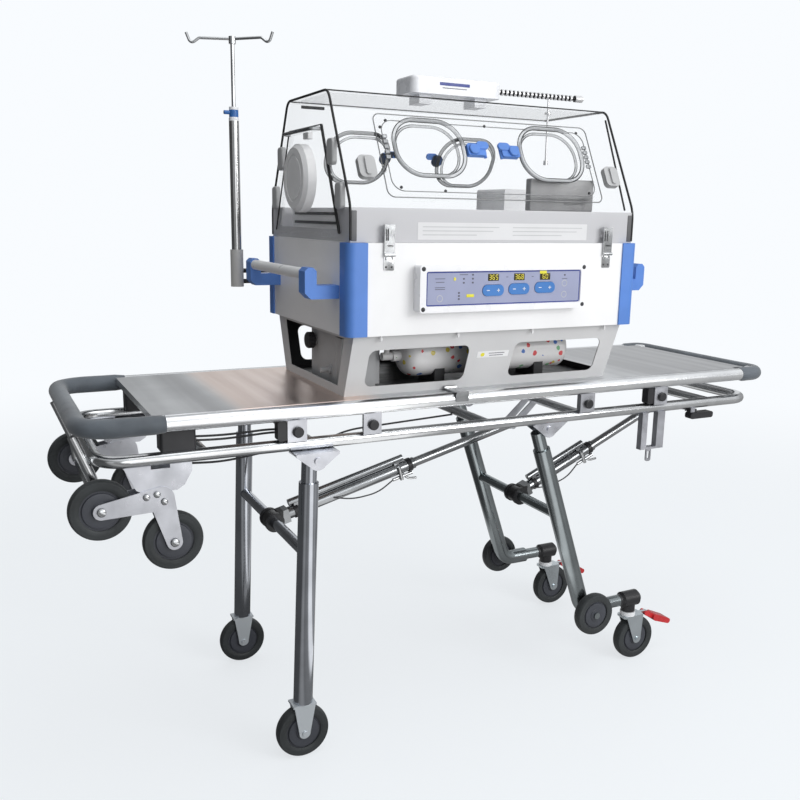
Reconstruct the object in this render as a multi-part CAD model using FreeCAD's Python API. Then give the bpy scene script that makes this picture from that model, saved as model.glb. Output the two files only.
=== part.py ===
"""Transport infant incubator latched on a folding two-layer ambulance stretcher.

Millimetres. +X points to the swivel-wheel end, -Y to the control panel side, +Z up.
The origin is on the floor, at the middle of the stretcher.
"""
import FreeCAD
import Part
import math
import os

from FreeCAD import Vector

# Litter: the upper frame, its foam grips and the deck
RAIL_R = 17.0
RAIL_Z = 848.0
RAIL_Y = 255.0
RAIL_X = 944.0
RAIL_BEND = 62.0
FOAM_WALL = 4.0
FOAM_LEFT_X = -775.0
FOAM_RIGHT_X = 865.0
CROSSBAR_R = 11.0
LITTER_CROSSBARS_X = (-758.0, -380.0, 60.0, 480.0, 848.0)
DECK_T = 3.0
DECK_GAP_Y = 14.5
DECK_X = (-799.0, 905.0)
DECK_LIP = 16.0
DECK_END_Y = (236.0, 229.0)

# Undercarriage: the lower frame
LOWER_R = 14.0
LOWER_Z = 771.0
LOWER_Y = 238.0
LOWER_X = (-910.0, 928.0)
LOWER_BEND = 60.0
LOWER_CROSSBARS_X = (-690.0, -445.0, 30.0, 320.0, 775.0)
END_POST_R = 10.0
END_POST_Y = 190.0

# Plates that tie the litter to the undercarriage
BRACKETS_X = (-485.0, -300.0, 323.0, 575.0)
BRACKET_W = 46.0
BRACKET_T = 4.0
BRACKET_KNOB_R = 12.5
BRACKET_KNOB_T = 9.0

# Legs and their hinges
PIVOT_Z = 738.0
LEFT_PIVOT_X = -445.0
RIGHT_PIVOT_X = 222.0
LEFT_LEG_Y = 256.0
RIGHT_LEG_Y = 207.0
LEG_R = 23.0
NECK_R = 18.0
NECK_LENGTH = 58.0
HUB_R = 14.0
HUB_WIDTH = 44.0
EAR_T = 3.0
EAR_GAP = 0.5
EAR_R = 22.0
EAR_TOP_W = 104.0
PIN_R = 2.5
GRIP_PIN = (703.0, 750.0)
HINGE_BOLT_R = 5.0
LEFT_LEAN = -2.0
LEFT_CRANK = 12.0
RIGHT_LEAN = 19.0
RIGHT_CRANK = 24.0
LEG_BAR_R = 14.0
LEFT_BAR_DROP = 227.0
RIGHT_BAR_DROP = 260.0

# Wheels
WHEEL_R = 65.0
WHEEL_W = 30.0
AXLE_R = 6.0
AXLE_GAP = 0.05
HUB_DISC_R = 42.0
LEFT_WHEEL_X = -479.0
FORK_T = 3.0
FORK_GAP = 2.0
FORK_CROWN_Z = 134.0
SWIVEL_X = 556.0
CASTER_TRAIL = 26.0
STEM_R = 8.0
SOCKET_Z = 190.0
SOCKET_R = 23.0
EXTENSION_R = 17.0
LEG_KNEE_Z = 190.0
PEDAL_PIN = (620.0, 134.0)
GUIDE_X = 395.0
GUIDE_R = 60.0
GUIDE_W = 28.0

# Loading wheels at the left end
LOAD_R = 66.0
LOAD_W = 27.0
LOAD_Y = 223.0
LOAD_OUTER = (-910.0, 669.0)
LOAD_INNER = (-762.0, 581.0)
LOAD_APEX = (-788.0, 699.0)
CARRIER_T = 3.0
ARM_T = 3.0

# Folding braces: tube on the leg's bar, rod inside the tube
BRACE_R = 16.0
BRACE_WALL = 3.0
BRACE_GAP = 0.05
LEFT_ANCHOR = (250.0, 700.0)
LEFT_TUBE = 420.0
LEFT_ROD = 444.0
RIGHT_ANCHOR = (775.0, 705.0)
RIGHT_TUBE = 294.0
RIGHT_ROD = 284.0
COLLAR_R = 23.0
COLLAR_W = 54.0
SIDE_TUBE_R = 9.0

# Incubator, centred on INC_X
INC_X = 28.0
BASE_BOTTOM_Z = RAIL_Z + RAIL_R - 1.0
BASE_TOP_Z = 1014.0
BASE_BOTTOM = (380.0, 205.0)
BASE_TOP = (380.0, 262.0)
SHEET = 3.0
BODY_X = 400.0
BODY_Y = 280.0
BODY_Z = (1014.0, 1222.0)
BODY_WALL = 4.0
COLUMN_W = 48.0
COLUMN_PROUD = 4.0
PANEL_PROUD = 32.0
WINDOW_U = 199.0
WINDOW = (268.0, 91.0)
WINDOW_ROUND = 18.0
WINDOW_Z = 931.5
HANDLE_Y = 205.0
HANDLE_ARM_W = 40.0
HANDLE_Z = 1096.0
CONTROL_X = (-212.0, 250.0)
CONTROL_Z = (1066.0, 1174.0)
CONTROL_RIM = (16.0, 14.0)
HANDLE_REACH = 82.0
HANDLE_BAR_R = 13.0

NOZZLE_R = 6.5
BOTTLE_R = 53.7
BOTTLE_Y = -112.0
BOTTLE_Z = 938.0

# Hood
HOOD_X = 392.0
HOOD_Y = 268.0
HOOD_TOP_Y = 137.0
HOOD_BASE_Z = 1222.5
HOOD_KNEE_Z = 1300.0
HOOD_TOP_Z = 1557.0
HOOD_WALL = 5.0
HINGE_Y = HOOD_Y + 5.0
HINGE_Z = HOOD_BASE_Z + 5.5
LATCH_X = 304.0
PANEL_T = 5.0
SEAT_GAP = 0.4
DOOR_HALF_U = 300.0
KNOB = (42.0, 54.0)
KNOB_GAP = 19.0
KNOB_U = DOOR_HALF_U + KNOB_GAP + KNOB[0] / 2
KNOB_V = 91.0
DOOR_V = (20.0, 232.0)
PORT_U = 170.0
PORT_V = 146.0
PORT_HOLE = (160.0, 124.0)
PORT_DOOR = (192.0, 154.0)
PORT_DOOR_T = 7.0
LATCH_U = 23.0
END_DOOR = ((222.0, 1238.0), (112.0, 1485.0))
END_PORT_R = 80.0
END_PORT_Z = 1366.0
END_PORT_DEPTH = 30.0

# Lamp, flexible neck and drip pole
LAMP_X = 20.0
LAMP = (258.0, 104.0, 42.0)
NECK_TIP_X = 446.0
NECK_Z = HOOD_TOP_Z + 47.0
PROBE_X = 332.0
PROBE_DROP = 121.0
PROBE_BEAD = 12.0
POLE_X = INC_X - BODY_X - HANDLE_REACH - 14.0
POLE_Y = 262.0
POLE_TUBE_R = 13.0
POLE_ROD_R = 5.0
HOOK_TURN = (20.0, 45.0)

# Mattress tray
TRAY = (704.0, 440.0)
TRAY_Z = (1222.0, 1298.0)
MATTRESS = (664.0, 400.0, 28.0)

HOOD_TILT = math.degrees(math.atan2(HOOD_Y - HOOD_TOP_Y, HOOD_TOP_Z - HOOD_KNEE_Z))


def box(x0, x1, y0, y1, z0, z1):
    """A box between two corners."""
    return Part.makeBox(x1 - x0, y1 - y0, z1 - z0, Vector(x0, y0, z0))


def rod(start, end, radius):
    """A round bar from one point to another."""
    a, b = Vector(*start), Vector(*end)
    return Part.makeCylinder(radius, (b - a).Length, a, b - a)


def join(*shapes):
    """One solid, or group of solids, from shapes that touch."""
    first = shapes[0]
    if len(shapes) == 1:
        return first
    return first.multiFuse(list(shapes[1:])).removeSplitter()


def group(*shapes):
    """Separate solids kept together."""
    solids = []
    for shape in shapes:
        solids.extend(shape.Solids)
    return Part.makeCompound(solids)


def split_walls(shape, x_left, x_right, z_low, z_high):
    """The same shape as walls that touch: floor, roof, two ends and two sides."""
    far = 3000.0
    regions = [box(-far, far, -far, far, -far, z_low), box(-far, far, -far, far, z_high, far),
               box(-far, x_left, -far, far, z_low, z_high), box(x_right, far, -far, far, z_low, z_high),
               box(x_left, x_right, -far, 0, z_low, z_high), box(x_left, x_right, 0, far, z_low, z_high)]
    return group(*[shape.common(region) for region in regions])


def mirror_y(shape):
    """The same shape on the other side."""
    return shape.mirror(Vector(0, 0, 0), Vector(0, 1, 0))


def both_sides(shape):
    """A shape and its mirror image across the long middle plane."""
    return group(shape, mirror_y(shape))


def tube(points, radius, bend, closed=False):
    """A round bar along straight runs joined by arcs of one bend radius."""
    pts = [Vector(*p) for p in points]
    count = len(pts)
    corners = range(count) if closed else range(1, count - 1)
    cut = {}
    pieces = []
    for i in corners:
        before = (pts[i - 1] - pts[i]).normalize()
        after = (pts[(i + 1) % count] - pts[i]).normalize()
        turn = math.pi - before.getAngle(after)
        setback = bend * math.tan(turn / 2)
        cut[i] = setback
        axis = before.cross(after).normalize()
        centre = pts[i] + (before + after).normalize() * (bend / math.cos(turn / 2))
        start = pts[i] + before * setback
        disc = Part.Face(Part.Wire(Part.makeCircle(radius, start, before)))
        pieces.append(disc.revolve(centre, axis * -1, math.degrees(turn)))
    for i in range(count if closed else count - 1):
        j = (i + 1) % count
        way = (pts[j] - pts[i]).normalize()
        a = pts[i] + way * cut.get(i, 0.0)
        b = pts[j] - way * cut.get(j, 0.0)
        pieces.append(Part.makeCylinder(radius, (b - a).Length, a, way))
    return join(*pieces)


def outline_xz(points, y0, y1):
    """A flat plate with an outline in X and Z, from y0 to y1."""
    wire = Part.makePolygon([Vector(x, y0, z) for x, z in points + [points[0]]])
    return Part.Face(wire).extrude(Vector(0, y1 - y0, 0))


def outline_yz(points, x0, x1):
    """A flat plate with an outline in Y and Z, from x0 to x1."""
    wire = Part.makePolygon([Vector(x0, y, z) for y, z in points + [points[0]]])
    return Part.Face(wire).extrude(Vector(x1 - x0, 0, 0))


def oval_xz(width, height, radius, y0, y1, centre=(0.0, 0.0)):
    """A rounded rectangle in X and Z, from y0 to y1."""
    x, z = centre
    slab = box(x - width / 2, x + width / 2, y0, y1, z - height / 2, z + height / 2)
    return round_edges(slab, radius, "y")


def round_edges(shape, radius, along):
    """Round the straight edges that run along one axis."""
    index = "xyz".index(along)
    chosen = []
    for edge in shape.Edges:
        if edge.Curve.TypeId != "Part::GeomLine":
            continue
        way = edge.Curve.Direction
        if abs(abs((way.x, way.y, way.z)[index]) - 1) < 1e-6:
            chosen.append(edge)
    return shape.makeFillet(radius, chosen)


def round_rims(shape, radius, along, places):
    """Round the full circles that lie at the given places along one axis."""
    index = "xyz".index(along)
    chosen = []
    for edge in shape.Edges:
        centre = edge.CenterOfMass
        here = (centre.x, centre.y, centre.z)[index]
        if edge.Curve.TypeId == "Part::GeomCircle" and min(abs(here - p) for p in places) < 1e-6:
            chosen.append(edge)
    return shape.makeFillet(radius, chosen)


def bevel_rims(shape, size, along, places):
    """Bevel the full circles that lie at the given places along one axis."""
    index = "xyz".index(along)
    chosen = []
    for edge in shape.Edges:
        centre = edge.CenterOfMass
        here = (centre.x, centre.y, centre.z)[index]
        if edge.Curve.TypeId == "Part::GeomCircle" and min(abs(here - p) for p in places) < 1e-6:
            chosen.append(edge)
    return shape.makeChamfer(size, chosen)


def strap(a, b, radius_a, radius_b, y0, y1):
    """A flat bar with rounded ends between two points in X and Z."""
    ax, az = a
    bx, bz = b
    length = math.hypot(bx - ax, bz - az)
    way = math.atan2(bz - az, bx - ax)
    lean = math.acos((radius_a - radius_b) / length)
    points = []
    for x, z, r, side in ((ax, az, radius_a, 1), (bx, bz, radius_b, 1),
                          (bx, bz, radius_b, -1), (ax, az, radius_a, -1)):
        points.append((x + r * math.cos(way + side * lean), z + r * math.sin(way + side * lean)))
    ends = [rod((x, y0, z), (x, y1, z), r) for x, z, r in ((ax, az, radius_a), (bx, bz, radius_b))]
    return join(outline_xz(points, y0, y1), *ends)


def turned(x, z, pivot, degrees):
    """A point in X and Z turned about a pivot, the lower end of a leg towards +X."""
    angle = math.radians(degrees)
    dx, dz = x - pivot[0], z - pivot[1]
    return (pivot[0] + dx * math.cos(angle) - dz * math.sin(angle),
            pivot[1] + dx * math.sin(angle) + dz * math.cos(angle))


def leg_point(pivot, lean, crank, drop):
    """The point of a leg's axis that lies drop below its pivot, along the leg."""
    return turned(pivot[0] - crank, pivot[1] - drop, pivot, lean)


def moved(shape, x, y, z):
    """The shape, shifted."""
    shape.translate(Vector(x, y, z))
    return shape


def wheel(x, y, z, radius, width, bore=AXLE_R + AXLE_GAP):
    """A tyre on a dished hub, turned about an axle along Y."""
    half = width / 2
    lip = HUB_DISC_R * radius / WHEEL_R
    profile = [(bore, -half), (bore + 9, -half), (bore + 13, -half + 5), (lip - 4, -half + 5),
               (lip, -half + 1), (radius - 9, -half + 1), (radius - 2, -half + 5),
               (radius, -half + 10), (radius, half - 10), (radius - 2, half - 5),
               (radius - 9, half - 1), (lip, half - 1), (lip - 4, half - 5),
               (bore + 13, half - 5), (bore + 9, half), (bore, half)]
    wire = Part.makePolygon([Vector(r, h, 0) for r, h in profile + [profile[0]]])
    return moved(Part.Face(wire).revolve(Vector(0, 0, 0), Vector(0, 1, 0), 360), x, y, z)


def make_litter_frame():
    """Upper loop with crossbars under the deck."""
    loop = tube([(-RAIL_X, -RAIL_Y, RAIL_Z), (RAIL_X, -RAIL_Y, RAIL_Z),
                 (RAIL_X, RAIL_Y, RAIL_Z), (-RAIL_X, RAIL_Y, RAIL_Z)], RAIL_R, RAIL_BEND, True)
    bar_z = RAIL_Z + RAIL_R - 1 - DECK_T - CROSSBAR_R
    bars = [rod((x, -RAIL_Y, bar_z), (x, RAIL_Y, bar_z), CROSSBAR_R) for x in LITTER_CROSSBARS_X]
    return join(loop, *bars)


def make_foam_grips():
    """Foam sleeves round both ends of the litter."""
    sleeves = []
    for x_end, x_bar in ((FOAM_LEFT_X, -RAIL_X), (FOAM_RIGHT_X, RAIL_X)):
        path = [(x_end, -RAIL_Y, RAIL_Z), (x_bar, -RAIL_Y, RAIL_Z),
                (x_bar, RAIL_Y, RAIL_Z), (x_end, RAIL_Y, RAIL_Z)]
        sleeves.append(tube(path, RAIL_R + FOAM_WALL, RAIL_BEND).cut(tube(path, RAIL_R, RAIL_BEND)))
    return group(*sleeves)


def make_deck_plate():
    """Brushed sheet on the crossbars, with its ends folded down."""
    top = RAIL_Z + RAIL_R - 1
    half = RAIL_Y - DECK_GAP_Y
    x0, x1 = DECK_X
    sheet = box(x0, x1, -half, half, top - DECK_T, top)
    left, right = DECK_END_Y
    for start, end, y in ((x0 - 1, FOAM_LEFT_X + 2, left), (FOAM_RIGHT_X - 2, x1 + 1, right)):
        sheet = sheet.cut(box(start, end, y, half + 1, top - DECK_T - 1, top + 1))
        sheet = sheet.cut(box(start, end, -half - 1, -y, top - DECK_T - 1, top + 1))
    lips = [box(x0, x0 + SHEET, 5 - left, left - 5, top - DECK_LIP, top),
            box(x1 - SHEET, x1, 5 - right, right - 5, top - DECK_LIP, top)]
    return join(sheet, *lips)


def make_litter_brackets():
    """Plates and blocks that seat the litter rails on the lower frame."""
    low = LOWER_Z + LOWER_R
    high = RAIL_Z - RAIL_R
    face = LOWER_Y + LOWER_R
    made = []
    for x in BRACKETS_X:
        plate = box(x - BRACKET_W / 2, x + BRACKET_W / 2, -face - BRACKET_T, -face, low - 4, high + 1)
        plate = plate.cut(rod((x - BRACKET_W, -RAIL_Y, RAIL_Z), (x + BRACKET_W, -RAIL_Y, RAIL_Z), RAIL_R))
        block = box(x - 15, x + 15, -face, -LOWER_Y + 8, low, high)
        made.append(join(plate, block))
    return both_sides(group(*made))


def make_bracket_knobs():
    """Black knobs on the plates, and the black hooks beside two of them."""
    face = LOWER_Y + LOWER_R + BRACKET_T
    z = 0.5 * (LOWER_Z + LOWER_R + RAIL_Z - RAIL_R) - 4
    made = []
    for x in BRACKETS_X:
        knob = rod((x + 1, -face, z), (x + 1, -face - BRACKET_KNOB_T, z), BRACKET_KNOB_R)
        made.append(round_rims(knob, 3.0, "y", [-face - BRACKET_KNOB_T]))
    low = LOWER_Z + LOWER_R
    high = RAIL_Z - RAIL_R
    for x in (BRACKETS_X[0], BRACKETS_X[3]):
        edge = x - BRACKET_W / 2
        hook = box(edge - 22, edge, -face + 2, -LOWER_Y + 8, low, high)
        made.append(round_edges(hook, 7.0, "y"))
    housing = box(-784, -708, -LOWER_Y - 2, -LOWER_Y + 44, low, high + 2)
    made.append(round_edges(housing, 6.0, "z"))
    return both_sides(group(*made))


def make_undercarriage_frame():
    """Lower loop, its crossbars, the end posts and the loading axles."""
    x0, x1 = LOWER_X
    loop = tube([(x0, -LOWER_Y, LOWER_Z), (x1, -LOWER_Y, LOWER_Z),
                 (x1, LOWER_Y, LOWER_Z), (x0, LOWER_Y, LOWER_Z)], LOWER_R, LOWER_BEND, True)
    bars = [rod((x, -LOWER_Y, LOWER_Z), (x, LOWER_Y, LOWER_Z), CROSSBAR_R + 1) for x in LOWER_CROSSBARS_X]
    post = tube([(-954, -END_POST_Y, 823.3), (-918, -END_POST_Y, 730),
                 (LOAD_OUTER[0], -END_POST_Y, LOAD_OUTER[1])], END_POST_R, 60)
    axle = rod((LOAD_OUTER[0], -END_POST_Y, LOAD_OUTER[1]), (LOAD_OUTER[0], END_POST_Y, LOAD_OUTER[1]), 8)
    return join(loop, *bars, post, mirror_y(post), axle)


def hinge_ear(pivot_x, y0, y1):
    """One rounded triangle plate of a leg hinge."""
    top = LOWER_Z - LOWER_R
    half = EAR_TOP_W / 2
    side = math.radians(38)
    points = [(pivot_x - half, top), (pivot_x - half, top - 6),
              (pivot_x - EAR_R * math.cos(side), PIVOT_Z - EAR_R * math.sin(side)),
              (pivot_x + EAR_R * math.cos(side), PIVOT_Z - EAR_R * math.sin(side)),
              (pivot_x + half, top - 6), (pivot_x + half, top)]
    ear = join(outline_xz(points, y0, y1), rod((pivot_x, y0, PIVOT_Z), (pivot_x, y1, PIVOT_Z), EAR_R))
    return ear.cut(box(pivot_x - half, pivot_x + half, y0 - 1, y1 + 1, top, top + EAR_R))


def make_leg_hinge(pivot_x, leg_y):
    """Two ears, their top web and the pivot bolt, on the front side."""
    inner = HUB_WIDTH / 2 + EAR_GAP
    outer = inner + EAR_T
    top = LOWER_Z - LOWER_R
    ears = [hinge_ear(pivot_x, -leg_y - outer, -leg_y - inner),
            hinge_ear(pivot_x, -leg_y + inner, -leg_y + outer)]
    reach = max(leg_y + outer, LOWER_Y)
    near = min(leg_y - outer, LOWER_Y)
    web = box(pivot_x - EAR_TOP_W / 2, pivot_x + EAR_TOP_W / 2, -reach, -near, top - EAR_T, top)
    bolt = rod((pivot_x, -leg_y - outer - 4, PIVOT_Z), (pivot_x, -leg_y + outer + 3, PIVOT_Z), HINGE_BOLT_R)
    head = rod((pivot_x, -leg_y - outer - 4.5, PIVOT_Z), (pivot_x, -leg_y - outer, PIVOT_Z), 9)
    return join(*ears, web, bolt, head)


def make_wheel_carrier():
    """Channel under the lower frame with the two forked arms of the loading wheels."""
    top = LOWER_Z - LOWER_R
    apex_x, apex_z = LOAD_APEX
    half = LOAD_W / 2 + 0.5
    outer, inner = LOAD_Y + half, LOAD_Y - half
    points = [(-862, top), (-838, 706), (-822, 698), (-752, 698), (-736, 708), (-719, 738), (-719, top)]
    reach = outer + CARRIER_T + ARM_T + 4
    rods = []
    for x, z in (LOAD_OUTER, LOAD_INNER):
        rods.append(rod((x, -reach, z), (x, -END_POST_Y - END_POST_R, z), AXLE_R))
    for x, z in ((-818, 690), (-796, 694), (-781, 676)):
        rods.append(rod((x, -reach + 1, z), (x, -outer - CARRIER_T, z), 5))
    made = []
    for y0, y1 in ((-outer - CARRIER_T, -outer), (-inner, -inner + CARRIER_T)):
        plate = outline_xz(points, y0, y1)
        made.append(plate.cut(box(-806, -766, y0 - 1, y1 + 1, top - 8, top + 1)))
    for x0, x1 in ((-862, -806), (-766, -719)):
        made.append(box(x0, x1, -outer, -inner, top - CARRIER_T, top))
    for y0, y1 in ((-outer - CARRIER_T - ARM_T, -outer - CARRIER_T),
                   (-inner + CARRIER_T, -inner + CARRIER_T + ARM_T)):
        front = strap(LOAD_INNER, (apex_x + 2, apex_z - 16), 17, 27, y0, y1)
        made += [front, strap(LOAD_OUTER, (apex_x + 2, apex_z - 16), 17, 27, y0, y1).cut(front)]
    return group(*[piece.cut(group(*rods)) for piece in made], *rods)


def make_catch_bracket():
    """U shaped catch that hangs from the lower frame, with its hook link."""
    top = LOWER_Z - LOWER_R + 4
    y0, y1 = -LOWER_Y - 15, -LOWER_Y + 3
    frame = box(518, 598, y0, y1, 656, top).cut(box(537, 572, y0 - 1, y1 + 1, 662, top + 1))
    frame = frame.cut(rod((500, -LOWER_Y, LOWER_Z), (620, -LOWER_Y, LOWER_Z), LOWER_R))
    link = box(545, 563, -LOWER_Y - 8, -LOWER_Y - 4, 619, 656)
    link = round_edges(link, 6.0, "y")
    return join(frame, link.cut(box(550, 558, -LOWER_Y - 9, -LOWER_Y - 3, 627, 648)))


def make_anchor(point, bar_x):
    """Open fork under a crossbar, where a brace rod ends."""
    x, z = point
    made = []
    for y0, y1 in ((-22, -18), (18, 22)):
        made.append(strap((x, z), (bar_x, LOWER_Z - 6), 11, 9, y0, y1))
        head = (y0 - 4, y0) if y0 < 0 else (y1, y1 + 4)
        made[-1] = join(made[-1], rod((x, head[0], z), (x, head[1], z), 7))
    plates = group(*made)
    return plates.cut(rod((bar_x, -30, LOWER_Z), (bar_x, 30, LOWER_Z), CROSSBAR_R + 1))


def make_frame_brackets():
    """Every zinc plate that is bolted to the frames."""
    left = make_leg_hinge(LEFT_PIVOT_X, LEFT_LEG_Y)
    right = make_leg_hinge(RIGHT_PIVOT_X, RIGHT_LEG_Y)
    carrier = make_wheel_carrier()
    catch = make_catch_bracket()
    anchors = group(make_anchor(LEFT_ANCHOR, LOWER_CROSSBARS_X[3]),
                    make_anchor(RIGHT_ANCHOR, LOWER_CROSSBARS_X[4]))
    return group(both_sides(group(left, right, carrier)), make_grip_clevis(), catch,
                 make_litter_brackets(), anchors)


def make_leg_top(y, pivot_x, lean, crank):
    """Hub and cranked neck of one leg, about its pivot."""
    hub = rod((0, -HUB_WIDTH / 2, 0), (0, HUB_WIDTH / 2, 0), HUB_R)
    neck = rod((-crank, 0, -NECK_LENGTH), (-crank, 0, -3), NECK_R)
    web = box(-crank, 0, -9, 9, -HUB_R, -2)
    top = join(hub, neck, web)
    top = top.cut(rod((0, -HUB_WIDTH, 0), (0, HUB_WIDTH, 0), HINGE_BOLT_R + AXLE_GAP))
    top.rotate(Vector(0, 0, 0), Vector(0, -1, 0), lean)
    return moved(top, pivot_x, y, PIVOT_Z)


def make_fork_plate(top_x0, top_x1, top_z, axle_x, y0, y1):
    """Tapered side plate of a wheel fork."""
    points = [(top_x0, top_z), (axle_x - 13, WHEEL_R - 4), (axle_x + 13, WHEEL_R - 4), (top_x1, top_z)]
    return join(outline_xz(points, y0, y1), rod((axle_x, y0, WHEEL_R), (axle_x, y1, WHEEL_R), 14))


def make_left_leg(y):
    """One straight leg with its fixed wheel fork."""
    pivot = (LEFT_PIVOT_X, PIVOT_Z)
    a = leg_point(pivot, LEFT_LEAN, LEFT_CRANK, NECK_LENGTH - 4)
    b = (LEFT_WHEEL_X + 2, FORK_CROWN_Z + 2)
    shaft = rod((a[0], y, a[1]), (b[0], y, b[1]), LEG_R)
    half = WHEEL_W / 2 + FORK_GAP
    crown = box(LEFT_WHEEL_X - 28, LEFT_WHEEL_X + 30, y - half - FORK_T, y + half + FORK_T,
                FORK_CROWN_Z, FORK_CROWN_Z + 5)
    x = LEFT_WHEEL_X
    reach = half + FORK_T + 4
    ears = [make_fork_plate(x - 26, x + 28, FORK_CROWN_Z + 5, x, y0, y0 + FORK_T)
            for y0 in (y - half - FORK_T, y + half)]
    axle = rod((x, y - reach, WHEEL_R), (x, y + reach, WHEEL_R), AXLE_R)
    return join(make_leg_top(y, LEFT_PIVOT_X, LEFT_LEAN, LEFT_CRANK), shaft, crown, *ears, axle)


def make_left_legs():
    """Both straight legs and the bar between them."""
    x, z = leg_point((LEFT_PIVOT_X, PIVOT_Z), LEFT_LEAN, LEFT_CRANK, LEFT_BAR_DROP)
    bar = rod((x, -LEFT_LEG_Y, z), (x, LEFT_LEG_Y, z), LEG_BAR_R)
    return join(make_left_leg(-LEFT_LEG_Y), make_left_leg(LEFT_LEG_Y), bar)


def make_right_leg(y):
    """One cranked leg with its foot, the swivel socket and the guide wheel's stub."""
    pivot = (RIGHT_PIVOT_X, PIVOT_Z)
    a = leg_point(pivot, RIGHT_LEAN, RIGHT_CRANK, NECK_LENGTH - 4)
    lean = math.tan(math.radians(RIGHT_LEAN))
    knee_x = a[0] + (a[1] - LEG_KNEE_Z) * lean
    shaft = tube([(a[0], y, a[1]), (knee_x, y, LEG_KNEE_Z), (knee_x + 82, y, LEG_KNEE_Z)], LEG_R, 48)
    foot = rod((knee_x + 76, y, SOCKET_Z), (SWIVEL_X - 20, y, SOCKET_Z), EXTENSION_R)
    socket = rod((SWIVEL_X - 34, y, SOCKET_Z), (SWIVEL_X + 34, y, SOCKET_Z), SOCKET_R)
    socket = bevel_rims(socket, 8.0, "x", [SWIVEL_X - 34, SWIVEL_X + 34])
    boss = rod((SWIVEL_X, y, 154), (SWIVEL_X, y, SOCKET_Z), 20)
    bore = rod((SWIVEL_X, y, 150), (SWIVEL_X, y, 186), STEM_R + AXLE_GAP)
    side = -1 if y < 0 else 1
    stub = rod((GUIDE_X, y, LEG_KNEE_Z), (GUIDE_X, y + side * (LEG_R + GUIDE_W + 5), LEG_KNEE_Z), AXLE_R)
    tip = y + side * (LEG_R + 3 + GUIDE_W + 0.6)
    head = rod((GUIDE_X, tip, LEG_KNEE_Z), (GUIDE_X, tip + side * 4, LEG_KNEE_Z), 9)
    top = make_leg_top(y, RIGHT_PIVOT_X, RIGHT_LEAN, RIGHT_CRANK)
    return join(top, shaft, foot, socket, boss, stub, head).cut(bore)


def make_right_legs():
    """Both cranked legs and the bar between them."""
    x, z = leg_point((RIGHT_PIVOT_X, PIVOT_Z), RIGHT_LEAN, RIGHT_CRANK, RIGHT_BAR_DROP)
    bar = rod((x, -RIGHT_LEG_Y, z), (x, RIGHT_LEG_Y, z), LEG_BAR_R)
    return join(make_right_leg(-RIGHT_LEG_Y), make_right_leg(RIGHT_LEG_Y), bar)


def make_caster_fork(y):
    """Swivel fork with its stem, set back from the stem by the trail."""
    axle_x = SWIVEL_X + CASTER_TRAIL
    half = WHEEL_W / 2 + FORK_GAP
    outer = half + FORK_T
    crown = round_edges(box(SWIVEL_X - 24, axle_x + 20, y - outer, y + outer, 134, 140), 8, "z")
    ring = rod((SWIVEL_X, y, 140), (SWIVEL_X, y, 152.5), 22)
    stem = rod((SWIVEL_X, y, 140), (SWIVEL_X, y, 184), STEM_R)
    ears = [make_fork_plate(SWIVEL_X - 16, axle_x + 18, 136, axle_x, y0, y0 + FORK_T)
            for y0 in (y - half - FORK_T, y + half)]
    axle = rod((axle_x, y - half - FORK_T - 4, WHEEL_R), (axle_x, y + half + FORK_T + 4, WHEEL_R), AXLE_R)
    x, z = PEDAL_PIN
    lug = box(axle_x + 14, x + 8, y - 5, y + 5, z - 5, z + 6)
    pin_hole = rod((x, y - 9, z), (x, y + 9, z), PIN_R + AXLE_GAP)
    return join(crown, ring, stem, *ears, axle, lug).cut(pin_hole)


def make_brake_pedal(y):
    """Foot pedal whose cheeks straddle the fork's lug on a pin."""
    x, z = PEDAL_PIN
    cheeks = [strap((x, z), (x + 24, z - 13), 7, 7, y0, y0 + 6) for y0 in (y - 11.5, y + 5.5)]
    bridge = strap((x + 22, z - 12), (x + 34, z - 17), 6, 6, y - 11.5, y + 11.5)
    pad = strap((x + 32, z - 17), (x + 80, z - 36), 10, 8, y - 19, y + 19)
    pin = rod((x, y - 11.5, z), (x, y + 11.5, z), PIN_R)
    return join(*cheeks, bridge, pad, pin)


def make_brace(bar_point, anchor, tube_length, rod_length):
    """A collar and tube on the leg's bar, and the rod that slides in it."""
    bx, bz = bar_point
    ax, az = anchor
    length = math.hypot(ax - bx, az - bz)
    wall = BRACE_R - BRACE_WALL
    collar = rod((0, -COLLAR_W / 2, 0), (0, COLLAR_W / 2, 0), COLLAR_R)
    yoke = box(COLLAR_R - 6, 44, -18, 18, -18, 18)
    barrel = rod((COLLAR_R - 2, 0, 0), (tube_length, 0, 0), BRACE_R)
    high = BRACE_R + SIDE_TUBE_R + 2
    side = rod((52, 0, high), (tube_length - 30, 0, high), SIDE_TUBE_R)
    clips = [box(x, x + 14, -8, 8, BRACE_R - 3, BRACE_R + SIDE_TUBE_R + 6) for x in (64, tube_length - 60)]
    outer = join(collar, yoke, barrel, side, *clips)
    outer = outer.cut(rod((0, -COLLAR_W, 0), (0, COLLAR_W, 0), LEG_BAR_R + AXLE_GAP))
    outer = outer.cut(rod((COLLAR_R + 5, 0, 0), (tube_length + 1, 0, 0), wall))
    inner = rod((length - rod_length, 0, 0), (length - 8, 0, 0), wall - BRACE_GAP)
    eye = rod((length, -9, 0), (length, 9, 0), 13)
    inner = join(inner, eye)
    for shape in (outer, inner):
        shape.rotate(Vector(0, 0, 0), Vector(0, -1, 0), math.degrees(math.atan2(az - bz, ax - bx)))
        shape.translate(Vector(bx, 0, bz))
    return outer, inner


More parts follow.
